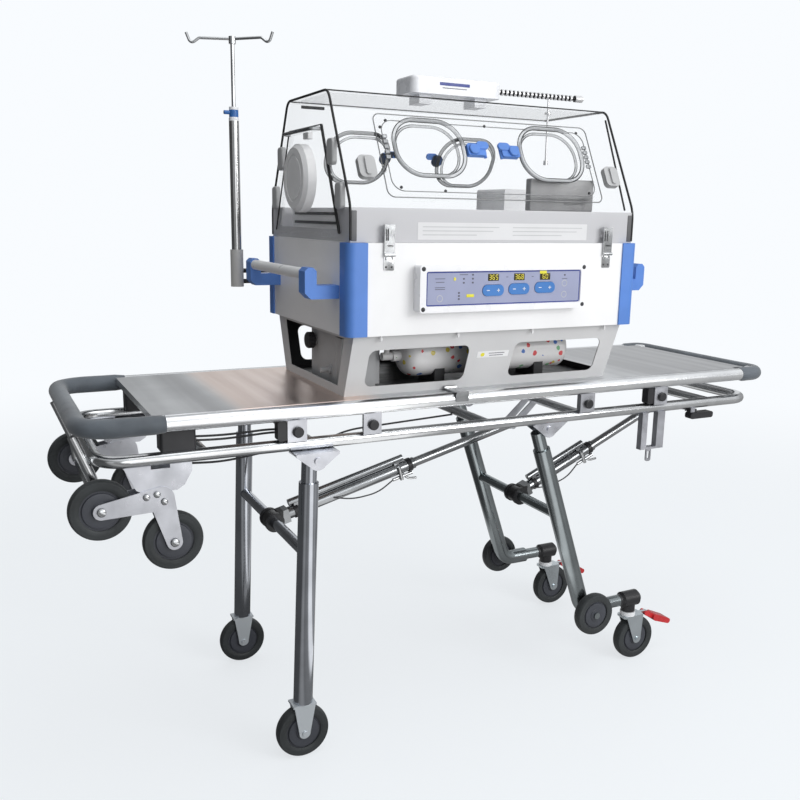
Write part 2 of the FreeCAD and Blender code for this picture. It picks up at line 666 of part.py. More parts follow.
def make_release_grip():
    """Hooked grip under the swivel end, pulled down to free the legs."""
    x, z = GRIP_PIN
    grip = box(x - 5, x + 79, -LOWER_Y - 12, -LOWER_Y + 12, z - 23, z - 5)
    grip = round_edges(grip, 7.0, "y")
    ear = box(x - 3, x + 19, -LOWER_Y - 8, -LOWER_Y + 8, z - 12, z + 5)
    pin_hole = rod((x, -LOWER_Y - 20, z), (x, -LOWER_Y + 20, z), PIN_R + AXLE_GAP)
    return join(grip, ear).cut(pin_hole)


def make_grip_clevis():
    """Two cheeks and a pin under the lower tube, which carry the grip."""
    x, z = GRIP_PIN
    top = LOWER_Z - LOWER_R + 4
    cheeks = [box(x - 7, x + 8, y0, y0 + 3, z - 2.5, top) for y0 in (-LOWER_Y - 12, -LOWER_Y + 9)]
    pin = rod((x, -LOWER_Y - 13, z), (x, -LOWER_Y + 13, z), PIN_R)
    tube_space = rod((x - 20, -LOWER_Y, LOWER_Z), (x + 20, -LOWER_Y, LOWER_Z), LOWER_R)
    return join(*cheeks, pin).cut(tube_space)


def make_release_cable():
    """Black cable clipped along the crossbars, from the grip to the loading end."""
    z = LOWER_Z - CROSSBAR_R - 1 - 3.5
    path = [(700, -222, z - 2), (630, -165, z), (-400, -165, z), (-560, -198, z), (-700, -198, z)]
    return tube(path, 3.5, 60)


def make_base_frame():
    """Flared sheet base with open ends, four windows, floor and bottle saddles."""
    def ring(inset, z0, z1):
        wires = []
        for z, (hx, hy) in ((z0, BASE_BOTTOM), (z1, BASE_TOP)):
            share = (z - BASE_BOTTOM_Z) / (BASE_TOP_Z - BASE_BOTTOM_Z)
            hx = BASE_BOTTOM[0] + share * (BASE_TOP[0] - BASE_BOTTOM[0]) - inset
            hy = BASE_BOTTOM[1] + share * (BASE_TOP[1] - BASE_BOTTOM[1]) - inset
            corners = [(INC_X - hx, -hy), (INC_X + hx, -hy), (INC_X + hx, hy), (INC_X - hx, hy)]
            wires.append(Part.makePolygon([Vector(x, y, z) for x, y in corners + [corners[0]]]))
        return Part.makeLoft(wires, True, True)
    shell = ring(0.0, BASE_BOTTOM_Z, BASE_TOP_Z)
    shell = shell.cut(ring(SHEET, BASE_BOTTOM_Z + SHEET, BASE_TOP_Z - SHEET))
    for centre in (-WINDOW_U, WINDOW_U):
        window = oval_xz(WINDOW[0], WINDOW[1], WINDOW_ROUND, -320, 320, (INC_X + centre, WINDOW_Z))
        shell = shell.cut(window)
    mouth = outline_yz([(-166, 884), (166, 884), (206, 1002), (-206, 1002)], INC_X - 450, INC_X - 250)
    shell = shell.cut(mouth)
    mouth.translate(Vector(700, 0, 0))
    shell = shell.cut(mouth)
    bottle = rod((-300, BOTTLE_Y, BOTTLE_Z), (400, BOTTLE_Y, BOTTLE_Z), BOTTLE_R + 0.3)
    floor = BASE_BOTTOM_Z + SHEET
    saddles = [box(x - 14, x + 14, BOTTLE_Y - 44, BOTTLE_Y + 44, floor, BOTTLE_Z - 26).cut(bottle)
               for x in (-70, 230)]
    half = min(BASE_BOTTOM[0], BASE_TOP[0]) - SHEET
    walls = split_walls(shell, INC_X - half, INC_X + half, floor, BASE_TOP_Z - SHEET)
    return group(walls, *saddles)


def make_gas_box():
    """Gas and power box in the left end of the base, with its inlet nozzle."""
    x0 = INC_X - 356
    body = round_edges(box(x0, x0 + 120, -96, 74, BASE_BOTTOM_Z + SHEET, BASE_TOP_Z - SHEET), 5, "z")
    ledge = box(x0, x0 + 90, -132, -96, BASE_BOTTOM_Z + SHEET, BASE_TOP_Z - 24)
    collar = rod((x0, 40, 966), (x0 - 5, 40, 966), 12)
    flange = rod((x0, -60, 905), (x0 - 6, -60, 905), 11)
    nozzle = rod((x0 - 6, -60, 905), (x0 - 26, -60, 905), NOZZLE_R)
    return join(body, ledge, collar, flange, nozzle)


def make_gas_knob():
    """Round valve knob on the gas box."""
    x0 = INC_X - 356 - 5.4
    knob = rod((x0, 40, 966), (x0 - 20, 40, 966), 21)
    knob = bevel_rims(knob, 3.0, "x", [x0, x0 - 20])
    for i in range(8):
        angle = math.radians(i * 45)
        y, z = 40 + 23.5 * math.cos(angle), 966 + 23.5 * math.sin(angle)
        knob = knob.cut(rod((x0 - 30, y, z), (x0 + 2, y, z), 5))
    return knob


def make_oxygen_cylinder():
    """Gas bottle on its side with a domed end, a neck and a valve."""
    y, z, r, x0, x1 = BOTTLE_Y, BOTTLE_Z, BOTTLE_R, -162, 322
    shell = rod((x0 + 40, y, z), (x1, y, z), r)
    shell = round_rims(shell, 20.0, "x", [x1])
    cap = Part.makeCone(15, r, 40, Vector(x0, y, z), Vector(1, 0, 0))
    cap = cap.fuse(shell).removeSplitter()
    neck = rod((x0 - 22, y, z), (x0 + 2, y, z), 14)
    valve = join(rod((x0 - 50, y, z), (x0 - 20, y, z), 10),
                 rod((x0 - 36, y, z - 6), (x0 - 36, y, z + 30), 7),
                 rod((x0 - 36, y, z + 26), (x0 - 36, y, z + 36), 15))
    return join(cap, neck, valve)


def make_body_shell():
    """Housing of the heater and fan: walls and top deck, closed below by the base."""
    z0, z1 = BODY_Z
    outer = box(INC_X - BODY_X, INC_X + BODY_X, -BODY_Y, BODY_Y, z0, z1)
    inner = box(INC_X - BODY_X + BODY_WALL, INC_X + BODY_X - BODY_WALL, -BODY_Y + BODY_WALL,
                BODY_Y - BODY_WALL, z0 - 1, z1 - BODY_WALL)
    shell = outer.cut(inner)
    corner = COLUMN_W - COLUMN_PROUD
    for sx in (-1, 1):
        for sy in (-1, 1):
            cx, cy = INC_X + sx * BODY_X, sy * BODY_Y
            xs = sorted((cx - sx * corner, cx + sx))
            ys = sorted((cy - sy * corner, cy + sy))
            shell = shell.cut(box(xs[0], xs[1], ys[0], ys[1], z0 - 2, z1 + 1))
            wall_x = sorted((cx - sx * corner, cx - sx * (corner + BODY_WALL)))
            wall_y = sorted((cy - sy * corner, cy - sy * (corner + BODY_WALL)))
            far_x = sorted((cx - sx * (corner + BODY_WALL), cx - sx * BODY_WALL))
            far_y = sorted((cy - sy * (corner + BODY_WALL), cy - sy * BODY_WALL))
            shell = shell.fuse([box(wall_x[0], wall_x[1], far_y[0], far_y[1], z0, z1),
                                box(far_x[0], far_x[1], wall_y[0], wall_y[1], z0, z1)])
    half = BODY_X - BODY_WALL
    walls = split_walls(shell.removeSplitter(), INC_X - half, INC_X + half, z0, z1 - BODY_WALL)
    return group(walls, make_rear_cover(), *make_hood_knuckles())


def make_hood_knuckles():
    """Hinge knuckles of the hood that stand on the body's rear edge."""
    made = []
    for u in (-258, -202, 202, 258):
        x0, x1 = INC_X + u - 7, INC_X + u + 7
        knuckle = rod((x0, HINGE_Y, HINGE_Z), (x1, HINGE_Y, HINGE_Z), 4.5)
        made.append(join(knuckle, box(x0, x1, HINGE_Y - 3, HINGE_Y + 3, BODY_Z[1], HINGE_Z)))
    return made


def make_corner_columns():
    """Four bumpers that wrap the corners of the body."""
    z0, z1 = BODY_Z
    made = []
    for sx in (-1, 1):
        for sy in (-1, 1):
            cx, cy = INC_X + sx * (BODY_X + COLUMN_PROUD), sy * (BODY_Y + COLUMN_PROUD)
            xs = sorted((cx, cx - sx * COLUMN_W))
            ys = sorted((cy, cy - sy * COLUMN_W))
            column = box(xs[0], xs[1], ys[0], ys[1], z0, z1)
            outer_edges = [e for e in column.Edges
                           if abs(e.CenterOfMass.x - cx) < 1e-6 and abs(e.CenterOfMass.y - cy) < 1e-6]
            made.append(column.makeFillet(20.0, outer_edges))
    return group(*made, *make_handle_arms())


def make_handle_arms():
    """Four L shaped arms, two at each end of the body."""
    made = []
    for sx in (-1, 1):
        root = INC_X + sx * BODY_X
        tip = root + sx * HANDLE_REACH
        low, high = HANDLE_Z, HANDLE_Z + 30
        points = [(root, low), (tip - sx * 14, low), (tip, low + 14), (tip, low + 62), (tip - sx * 8, low + 70),
                  (tip - sx * 20, low + 70), (tip - sx * 28, low + 62), (tip - sx * 28, high), (root, high)]
        for sy in (-1, 1):
            y = sy * HANDLE_Y
            made.append(outline_xz(points, y - HANDLE_ARM_W / 2, y + HANDLE_ARM_W / 2))
    return made


def make_handle_bars():
    """Round grips between the arms."""
    made = []
    reach = HANDLE_Y - HANDLE_ARM_W / 2
    for sx in (-1, 1):
        x = INC_X + sx * (BODY_X + HANDLE_REACH - 14)
        made.append(rod((x, -reach, HANDLE_Z + 54), (x, reach, HANDLE_Z + 54), HANDLE_BAR_R))
    return group(*made)


def key_centres():
    """Where the three oval keys sit on the control panel."""
    return [(-18.0, 1114.0), (54.0, 1116.0), (128.0, 1118.0)]


def make_control_panel():
    """Framed control panel with a sunk face and three key pockets."""
    y1 = -BODY_Y
    y0 = y1 - PANEL_PROUD
    x0, x1 = CONTROL_X
    z0, z1 = CONTROL_Z
    dx, dz = CONTROL_RIM
    frame = round_edges(box(x0, x1, y0, y1, z0, z1), 8, "y")
    frame = frame.cut(round_edges(box(x0 + dx, x1 - dx, y0 - 1, y0 + 3, z0 + dz, z1 - dz), 6, "y"))
    for x, z in key_centres():
        frame = frame.cut(oval_xz(59, 27, 13, y0 + 2, y0 + 8, (x, z)))
    return frame


def make_key(index):
    """One oval key in its pocket."""
    y0 = -BODY_Y - PANEL_PROUD
    return oval_xz(58, 26, 12.5, y0 + 0.6, y0 + 6, key_centres()[index])


def make_mattress_tray():
    """Open tray on feet inside the hood, with the air duct block at one end."""
    hx, hy = TRAY[0] / 2, TRAY[1] / 2
    z0, z1 = TRAY_Z
    tray = box(INC_X - hx, INC_X + hx, -hy, hy, z0, z1)
    tray = tray.cut(box(INC_X - hx + 4, INC_X + hx - 4, -hy + 4, hy - 4, z0 + 40, z1 + 1))
    tray = tray.cut(box(INC_X - hx + 4, INC_X + hx - 4, -hy + 4, hy - 4, z0 - 1, z0 + 36))
    duct = box(INC_X + 220, INC_X + hx, 70, hy, z1, z1 + 62)
    return join(tray, round_edges(duct, 8, "y"))


def make_mattress():
    """Foam mattress in the tray."""
    hx, hy, t = MATTRESS[0] / 2, MATTRESS[1] / 2, MATTRESS[2]
    z = TRAY_Z[0] + 40.3
    return round_edges(box(INC_X - hx, INC_X + hx, -hy, hy, z, z + t), 30, "z")


def make_rear_cover():
    """Filter cover on the back of the body, with louvres."""
    y0, y1 = BODY_Y, BODY_Y + PANEL_PROUD
    cover = round_edges(box(INC_X - 210, INC_X + 210, y0, y1, 1050, 1190), 10, "y")
    for i in range(7):
        z = 1074 + i * 15
        cover = cover.cut(box(INC_X - 180, INC_X + 60, y1 - 12, y1 + 1, z, z + 6))
    return cover


def hood_outline(inset, z_low):
    """The hood's end outline, pulled in by the same distance all round."""
    slope = math.radians(HOOD_TILT)
    shift = inset / math.cos(slope)
    top = HOOD_TOP_Z - inset
    y_knee = HOOD_Y - inset
    y_top = HOOD_TOP_Y + (HOOD_TOP_Z - top) * math.tan(slope) - shift
    z_knee = HOOD_KNEE_Z - (shift - inset) / math.tan(slope)
    half = [(y_knee, z_low), (y_knee, z_knee), (y_top, top)]
    return [(-y, z) for y, z in half] + half[::-1]


def end_door_outline(inset):
    """The end door's outline, pulled in by the same distance all round."""
    (half_low, z_low), (half_high, z_high) = END_DOOR
    lean = (half_low - half_high) / (z_high - z_low)
    half = []
    for z in (z_low + inset, z_high - inset):
        half.append((half_low - lean * (z - z_low) - inset * math.hypot(1.0, lean), z))
    return [(-y, z) for y, z in half] + half[::-1]


def on_slope(shape, side):
    """Place a shape drawn on an upright wall, outward along -Y, on the slanted wall of a side."""
    shape.rotate(Vector(0, 0, 0), Vector(1, 0, 0), -HOOD_TILT)
    shape.translate(Vector(INC_X, -HOOD_Y, HOOD_KNEE_Z))
    return shape if side < 0 else mirror_y(shape)


def make_hood_shell():
    """Clear canopy with a front doorway, two rear arm holes and an end doorway."""
    outer = outline_yz(hood_outline(0.0, HOOD_BASE_Z), INC_X - HOOD_X, INC_X + HOOD_X)
    ridge = [e for e in outer.Edges if abs(e.CenterOfMass.z - HOOD_TOP_Z) < 1e-6
             and abs(e.CenterOfMass.x - INC_X) < 1e-6]
    outer = outer.makeFillet(22.0, ridge)
    inner = outline_yz(hood_outline(HOOD_WALL, HOOD_BASE_Z - 1), INC_X - HOOD_X + HOOD_WALL,
                       INC_X + HOOD_X - HOOD_WALL)
    ridge = [e for e in inner.Edges if abs(e.CenterOfMass.z - HOOD_TOP_Z + HOOD_WALL) < 1e-6
             and abs(e.CenterOfMass.x - INC_X) < 1e-6]
    shell = outer.cut(inner.makeFillet(17.0, ridge))
    doorway = oval_xz(2 * DOOR_HALF_U - 28, DOOR_V[1] - DOOR_V[0] - 28, 20, -9, 12,
                      (0, 0.5 * (DOOR_V[0] + DOOR_V[1])))
    shell = shell.cut(on_slope(doorway, -1))
    for u in (-PORT_U, PORT_U):
        hole = oval_xz(PORT_HOLE[0], PORT_HOLE[1], 60, -9, 12, (u, PORT_V))
        shell = shell.cut(on_slope(hole, 1))
    end = outline_yz(end_door_outline(12.0), INC_X - HOOD_X - 2, INC_X - HOOD_X + 9)
    shell = shell.cut(end)
    catches = [box(INC_X + u - 12, INC_X + u + 12, -HOOD_Y - 8, -HOOD_Y + 2, 1236, 1246)
               for u in (-LATCH_X, LATCH_X)]
    hole = rod((PROBE_X, 0, HOOD_TOP_Z - 20), (PROBE_X, 0, HOOD_TOP_Z + 9), 4)
    for u in (-230, 230):
        x0, x1 = INC_X + u - 20, INC_X + u + 20
        catches.append(rod((x0, HINGE_Y, HINGE_Z), (x1, HINGE_Y, HINGE_Z), 5))
        catches.append(box(x0, x1, HOOD_Y - 1, HINGE_Y, HINGE_Z, HINGE_Z + 5))
    return join(shell.cut(hole), *catches)


def make_front_door():
    """Drop-down panel with two arm holes and its hinge barrels."""
    v0, v1 = DOOR_V
    panel = oval_xz(2 * DOOR_HALF_U, v1 - v0, 16, -SEAT_GAP - PANEL_T, -SEAT_GAP, (0, 0.5 * (v0 + v1)))
    for u in (-PORT_U, PORT_U):
        panel = panel.cut(oval_xz(PORT_HOLE[0], PORT_HOLE[1], 60, -20, 5, (u, PORT_V)))
    barrels = [rod((u - 30, -SEAT_GAP - 4, v0 - 3), (u + 30, -SEAT_GAP - 4, v0 - 3), 4) for u in (-210, 210)]
    return on_slope(join(panel, *barrels), -1)


def make_port_door(u, wall_t, side, latch):
    """Oval arm port door: clear plate, raised rim and hinge barrel on the outer side."""
    y1 = -wall_t - SEAT_GAP
    plate = oval_xz(PORT_DOOR[0], PORT_DOOR[1], 70, y1 - 4, y1, (u, PORT_V))
    rim = oval_xz(PORT_DOOR[0], PORT_DOOR[1], 70, y1 - PORT_DOOR_T, y1 - 3, (u, PORT_V))
    rim = rim.cut(oval_xz(PORT_DOOR[0] - 24, PORT_DOOR[1] - 24, 60, y1 - 20, y1, (u, PORT_V)))
    out = 1 if u > 0 else -1
    x = u + out * (PORT_DOOR[0] / 2 + 3)
    barrel = rod((x, y1 - 4, PORT_V - 22), (x, y1 - 4, PORT_V + 22), 4)
    made = [plate, rim, barrel]
    if latch:
        x = u - out * (PORT_DOOR[0] / 2 - 8)
        made.append(oval_xz(34, 30, 8, y1 - 16, y1 - 3, (x, PORT_V)))
    return on_slope(join(*made), side)


def make_port_latch(u):
    """Latch of one front arm port, hinged at its end near the middle of the door."""
    out = 1 if u > 0 else -1
    y1 = -SEAT_GAP - PANEL_T - SEAT_GAP
    near = out * LATCH_U
    far = out * (PORT_U - PORT_DOOR[0] / 2 - 2)
    x0, x1 = sorted((near, far))
    body = round_edges(box(x0, x1, y1 - 12, y1, PORT_V - 15, PORT_V + 15), 5, "y")
    barrel = rod((near, y1 - 4, PORT_V - 17), (near, y1 - 4, PORT_V + 17), 4)
    return on_slope(join(body, barrel), -1)


def make_end_door():
    """Trapezoid door in the hood's left end, with the round opening."""
    x1 = INC_X - HOOD_X - SEAT_GAP
    panel = outline_yz(end_door_outline(0.0), x1 - PANEL_T, x1)
    panel = panel.cut(rod((x1 - 20, 0, END_PORT_Z), (x1 + 5, 0, END_PORT_Z), END_PORT_R - 16))
    z = HOOD_BASE_Z + 12
    barrels = [rod((x1 - 5, y - 26, z), (x1 - 5, y + 26, z), 4.5) for y in (-150, 150)]
    lugs = [box(x1 - PANEL_T, x1, y - 24, y + 24, z, END_DOOR[0][1] + 2) for y in (-150, 150)]
    return join(panel, *barrels, *lugs)


def make_end_port():
    """Round drum shaped access door in the end door."""
    x1 = INC_X - HOOD_X - 2 * SEAT_GAP - PANEL_T
    drum = rod((x1, 0, END_PORT_Z), (x1 - END_PORT_DEPTH, 0, END_PORT_Z), END_PORT_R)
    drum = bevel_rims(drum, 9.0, "x", [x1 - END_PORT_DEPTH])
    drum = drum.cut(rod((x1 + 1, 0, END_PORT_Z), (x1 - END_PORT_DEPTH + 6, 0, END_PORT_Z), END_PORT_R - 8))
    face = (x1 - END_PORT_DEPTH - 1, 0, END_PORT_Z)
    floor = (x1 - END_PORT_DEPTH + 2, 0, END_PORT_Z)
    groove = rod(face, floor, END_PORT_R - 24).cut(rod(face, floor, END_PORT_R - 30))
    barrel = rod((x1 - 6, END_PORT_R + 4, END_PORT_Z - 24), (x1 - 6, END_PORT_R + 4, END_PORT_Z + 24), 5)
    tab = box(x1 - 10, x1 - 1, END_PORT_R - 12, END_PORT_R + 4, END_PORT_Z - 18, END_PORT_Z + 18)
    return join(drum.cut(groove), barrel, tab)


def make_door_knob(u):
    """Rounded square turn knob beside the front door."""
    y1 = -SEAT_GAP
    knob = oval_xz(KNOB[0], KNOB[1], 12, y1 - 16, y1 - 2, (u, KNOB_V))
    collar = rod((u, y1 - 3, KNOB_V), (u, y1, KNOB_V), 0.45 * KNOB[0])
    grip = oval_xz(12, KNOB[1] - 10, 5, y1 - 21, y1 - 15, (u, KNOB_V))
    return on_slope(join(collar, knob, grip), -1)


def make_hood_latch(u):
    """Draw latch lever on the body, reaching over the hood's skirt."""
    x = INC_X + u
    y = -BODY_Y - SEAT_GAP
    lever = box(x - 13, x + 13, y - 5, y - 2, 1196, 1262)
    hook = box(x - 13, x + 13, y - 5, -HOOD_Y - 9.4, 1250, 1262)
    barrel = rod((x - 13, y - 5, 1196), (x + 13, y - 5, 1196), 4.6)
    return join(lever, hook, barrel)


def make_deck_latch():
    """Toggle that holds the incubator's base down on the litter rail."""
    top = RAIL_Z + RAIL_R
    y0 = -RAIL_Y - RAIL_R - 4
    lever = box(-88, -54, y0, -214, top + 0.6, top + 4)
    lip = box(-88, -54, y0, y0 + 3.4, top - 20, top + 4)
    barrel = rod((-88, -213, top + 4.6), (-54, -213, top + 4.6), 4)
    return join(lever, lip, barrel)


def make_lamp_unit():
    """Lamp housing on two feet on top of the hood."""
    length, depth, height = LAMP
    z0 = HOOD_TOP_Z + 22
    case = box(LAMP_X - length / 2, LAMP_X + length / 2, -depth / 2, depth / 2, z0, z0 + height)
    case = round_edges(case, 18, "z")
    top = [e for e in case.Edges if abs(e.BoundBox.ZMin - (z0 + height)) < 1e-6]
    case = case.makeFillet(8.0, top)
    feet = [box(LAMP_X + u - 17, LAMP_X + u + 17, -28, 28, HOOD_TOP_Z, z0 + 2) for u in (-80, 80)]
    return join(case, *feet)


def make_gooseneck():
    """Corrugated arm on the lamp, its tip, and the probe that hangs into the hood."""
    x0 = LAMP_X + LAMP[0] / 2
    pitch, core, crest = 13.0, 5.0, 8.0
    points = [(x0, 0), (x0, core)]
    x = x0
    while x + pitch < NECK_TIP_X - 30:
        points += [(x + 3, core), (x + 5, crest), (x + 10, crest), (x + 12, core)]
        x += pitch
    tip = NECK_TIP_X
    points += [(tip - 28, core), (tip - 28, 9), (tip - 4, 9), (tip, 5), (tip, 0)]
    wire = Part.makePolygon([Vector(px, 0, r) for px, r in points + [points[0]]])
    arm = Part.Face(wire).revolve(Vector(0, 0, 0), Vector(1, 0, 0), 360)
    arm.translate(Vector(0, 0, NECK_Z))
    low = HOOD_TOP_Z - PROBE_DROP
    probe = rod((PROBE_X, 0, NECK_Z - 4), (PROBE_X, 0, low), 2.6)
    bead = rod((PROBE_X, 0, low), (PROBE_X, 0, low - PROBE_BEAD), 6)
    flange = rod((PROBE_X, 0, HOOD_TOP_Z), (PROBE_X, 0, HOOD_TOP_Z + 5), 9)
    return join(arm, probe, bead, flange)


def make_iv_pole_lower():
    """Socket on two rods from the body, the thick tube and its clamp."""
    x, y = POLE_X, POLE_Y
    tube_top, tube_low = 1522, 1150
    pole = rod((x, y, tube_low), (x, y, tube_top), POLE_TUBE_R)
    socket = rod((x, y, 1088), (x, y, 1186), POLE_TUBE_R + 4)
    clamp = rod((x, y, tube_top), (x, y, tube_top + 28), 12)
    knob = rod((x, y, tube_top + 14), (x - 26, y, tube_top + 14), 5)
    arms = [rod((x, y, z), (INC_X - BODY_X - COLUMN_PROUD, y, z), 6) for z in (1102, 1130)]
    pole = join(pole, socket, clamp, knob, *arms)
    return pole.cut(rod((x, y, 1160), (x, y, tube_top + 40), POLE_ROD_R + AXLE_GAP))


def make_iv_pole_upper():
    """Thin rod with the two hooks at its top."""
    x, y, top = POLE_X, POLE_Y, 1716
    made = [rod((x, y, 1330), (x, y, top), POLE_ROD_R), rod((x, y, top - 12), (x, y, top + 6), 9)]
    for side, degrees in zip((-1, 1), HOOK_TURN):
        turn = math.radians(degrees)
        path = [(x + side * reach * math.cos(turn), y - side * reach * math.sin(turn), z)
                for reach, z in ((0, top), (83, top), (104, top - 16), (115, top + 12))]
        made.append(tube(path, 3.5, 9))
    return join(*made)


def build():
    """Every named piece of the assembly."""
    left_bar = leg_point((LEFT_PIVOT_X, PIVOT_Z), LEFT_LEAN, LEFT_CRANK, LEFT_BAR_DROP)
    right_bar = leg_point((RIGHT_PIVOT_X, PIVOT_Z), RIGHT_LEAN, RIGHT_CRANK, RIGHT_BAR_DROP)
    left_tube, left_rod = make_brace(left_bar, LEFT_ANCHOR, LEFT_TUBE, LEFT_ROD)
    right_tube, right_rod = make_brace(right_bar, RIGHT_ANCHOR, RIGHT_TUBE, RIGHT_ROD)
    caster_x = SWIVEL_X + CASTER_TRAIL
    guide_y = RIGHT_LEG_Y + LEG_R + 3 + GUIDE_W / 2
    shell_t = SEAT_GAP + PANEL_T
    parts = {
        "litter_frame": make_litter_frame(),
        "foam_grips": make_foam_grips(),
        "deck_plate": make_deck_plate(),
        "bracket_knobs": make_bracket_knobs(),
        "undercarriage_frame": make_undercarriage_frame(),
        "frame_brackets": make_frame_brackets(),
        "release_cable": make_release_cable(),
        "release_grip": make_release_grip(),
        "left_legs": make_left_legs(),
        "left_brace_tube": left_tube,
        "left_brace_rod": left_rod,
        "right_legs": make_right_legs(),
        "right_brace_tube": right_tube,
        "right_brace_rod": right_rod,
        "base_frame": make_base_frame(),
        "gas_box": make_gas_box(),
        "gas_knob": make_gas_knob(),
        "oxygen_cylinder": make_oxygen_cylinder(),
        "body_shell": make_body_shell(),
        "corner_columns": make_corner_columns(),
        "handle_bars": make_handle_bars(),
        "control_panel": make_control_panel(),
        "mattress_tray": make_mattress_tray(),
        "mattress": make_mattress(),
        "hood_shell": make_hood_shell(),
        "front_door": make_front_door(),
        "end_door": make_end_door(),
        "end_port": make_end_port(),
        "lamp_unit": make_lamp_unit(),
        "gooseneck": make_gooseneck(),
        "deck_latch": make_deck_latch(),
        "iv_pole_lower": make_iv_pole_lower(),
        "iv_pole_upper": make_iv_pole_upper(),
    }
    for name, side in (("front", -1), ("rear", 1)):
        parts["left_wheel_" + name] = wheel(LEFT_WHEEL_X, side * LEFT_LEG_Y, WHEEL_R, WHEEL_R, WHEEL_W)
        parts["caster_fork_" + name] = make_caster_fork(side * RIGHT_LEG_Y)
        parts["caster_wheel_" + name] = wheel(caster_x, side * RIGHT_LEG_Y, WHEEL_R, WHEEL_R, WHEEL_W)
        parts["brake_pedal_" + name] = make_brake_pedal(side * RIGHT_LEG_Y)
        parts["guide_wheel_" + name] = wheel(GUIDE_X, side * guide_y, LEG_KNEE_Z, GUIDE_R, GUIDE_W)
        for place, (x, z) in (("outer", LOAD_OUTER), ("inner", LOAD_INNER)):
            parts["loading_wheel_" + place + "_" + name] = wheel(x, side * LOAD_Y, z, LOAD_R, LOAD_W)
    for name, side in (("left", -1), ("right", 1)):
        parts["front_port_" + name] = make_port_door(side * PORT_U, shell_t, -1, False)
        parts["rear_port_" + name] = make_port_door(side * PORT_U, 0.0, 1, True)
        parts["port_latch_" + name] = make_port_latch(side)
        parts["door_knob_" + name] = make_door_knob(side * KNOB_U)
        parts["hood_latch_" + name] = make_hood_latch(side * LATCH_X)
    for index, name in enumerate(("left", "middle", "right")):
        parts["key_pad_" + name] = make_key(index)
    return parts


def main():
    """Write one file for each piece."""
    os.makedirs("parts", exist_ok=True)
    for name, shape in sorted(build().items()):
        shape.exportStep("parts/" + name + ".step")
        print(name, len(shape.Solids), round(shape.Volume / 1000.0, 1), shape.isValid())


main()
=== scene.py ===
"""Looks of a transport infant incubator on a folding ambulance stretcher.

Metres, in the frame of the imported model: +X to the swivel wheels, -Y to the control panel, +Z up.
"""

import logging
import math
from dataclasses import dataclass
from enum import Enum

import bmesh
import bpy
import numpy as np
from mathutils import Matrix, Vector


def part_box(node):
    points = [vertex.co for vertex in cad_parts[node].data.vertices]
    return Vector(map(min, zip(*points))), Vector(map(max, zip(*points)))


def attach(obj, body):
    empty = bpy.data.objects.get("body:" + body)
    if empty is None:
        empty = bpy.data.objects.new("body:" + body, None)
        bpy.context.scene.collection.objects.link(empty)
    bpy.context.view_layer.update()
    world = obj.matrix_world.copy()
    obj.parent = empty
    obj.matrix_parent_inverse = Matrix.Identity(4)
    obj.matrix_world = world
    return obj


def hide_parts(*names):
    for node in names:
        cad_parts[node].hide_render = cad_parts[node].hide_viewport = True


Points = np.ndarray
Colour = tuple[float, float, float]
Triple = tuple[float, float, float]

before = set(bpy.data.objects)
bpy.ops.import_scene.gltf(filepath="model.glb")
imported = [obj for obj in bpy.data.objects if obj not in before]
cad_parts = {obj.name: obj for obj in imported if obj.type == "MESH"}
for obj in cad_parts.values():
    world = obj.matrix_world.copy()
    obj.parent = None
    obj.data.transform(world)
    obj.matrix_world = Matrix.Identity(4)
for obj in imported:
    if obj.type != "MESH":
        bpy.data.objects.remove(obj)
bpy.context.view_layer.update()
LOG = logging.getLogger("incubator")
TINY = 1e-9

# The incubator's middle along X, and the outline of the hood.
INC_X = 0.028
HOOD_HALF_X = 0.392
HOOD_HALF_Y = 0.268
HOOD_TOP_HALF_Y = 0.137
HOOD_BASE_Z = 1.2225
HOOD_KNEE_Z = 1.300
HOOD_TOP_Z = 1.557
# The body's front, and how far out the flared base lies at its foot and at its top.
BODY_HALF_Y = 0.280
BASE_FOOT_Y = 0.205
BASE_TOP_Y = 0.262
# The middle of an arm port: to the side, and up the sloped wall from the knee.
PORT_U = 0.170
PORT_V = 0.146
# Where printed marks start and end, outward from their face.
PRINT = (0.0004, 0.0008)


class Grain(Enum):
    """The fine relief of a surface: how far the noise is stretched along X, Y and Z."""

    EVEN = (1.0, 1.0, 1.0)
    BRUSHED_X = (0.03, 1.0, 1.0)
    BRUSHED_Y = (1.0, 0.03, 1.0)
    BRUSHED_Z = (1.0, 1.0, 0.03)


class Along(Enum):
    """An axis that a round piece turns about: its unit vector and the two beside it."""

    X = ((1.0, 0.0, 0.0), (0.0, 1.0, 0.0), (0.0, 0.0, 1.0))
    Y = ((0.0, 1.0, 0.0), (0.0, 0.0, 1.0), (1.0, 0.0, 0.0))
    Z = ((0.0, 0.0, 1.0), (1.0, 0.0, 0.0), (0.0, 1.0, 0.0))


@dataclass(frozen=True)
class Zone:
    """A stretch of a piece that is finished another way, between two corners."""

    low: Triple
    high: Triple
    colour: Colour
    roughness: float = 0.45
    metallic: float = 0.0
    alpha: float = 1.0


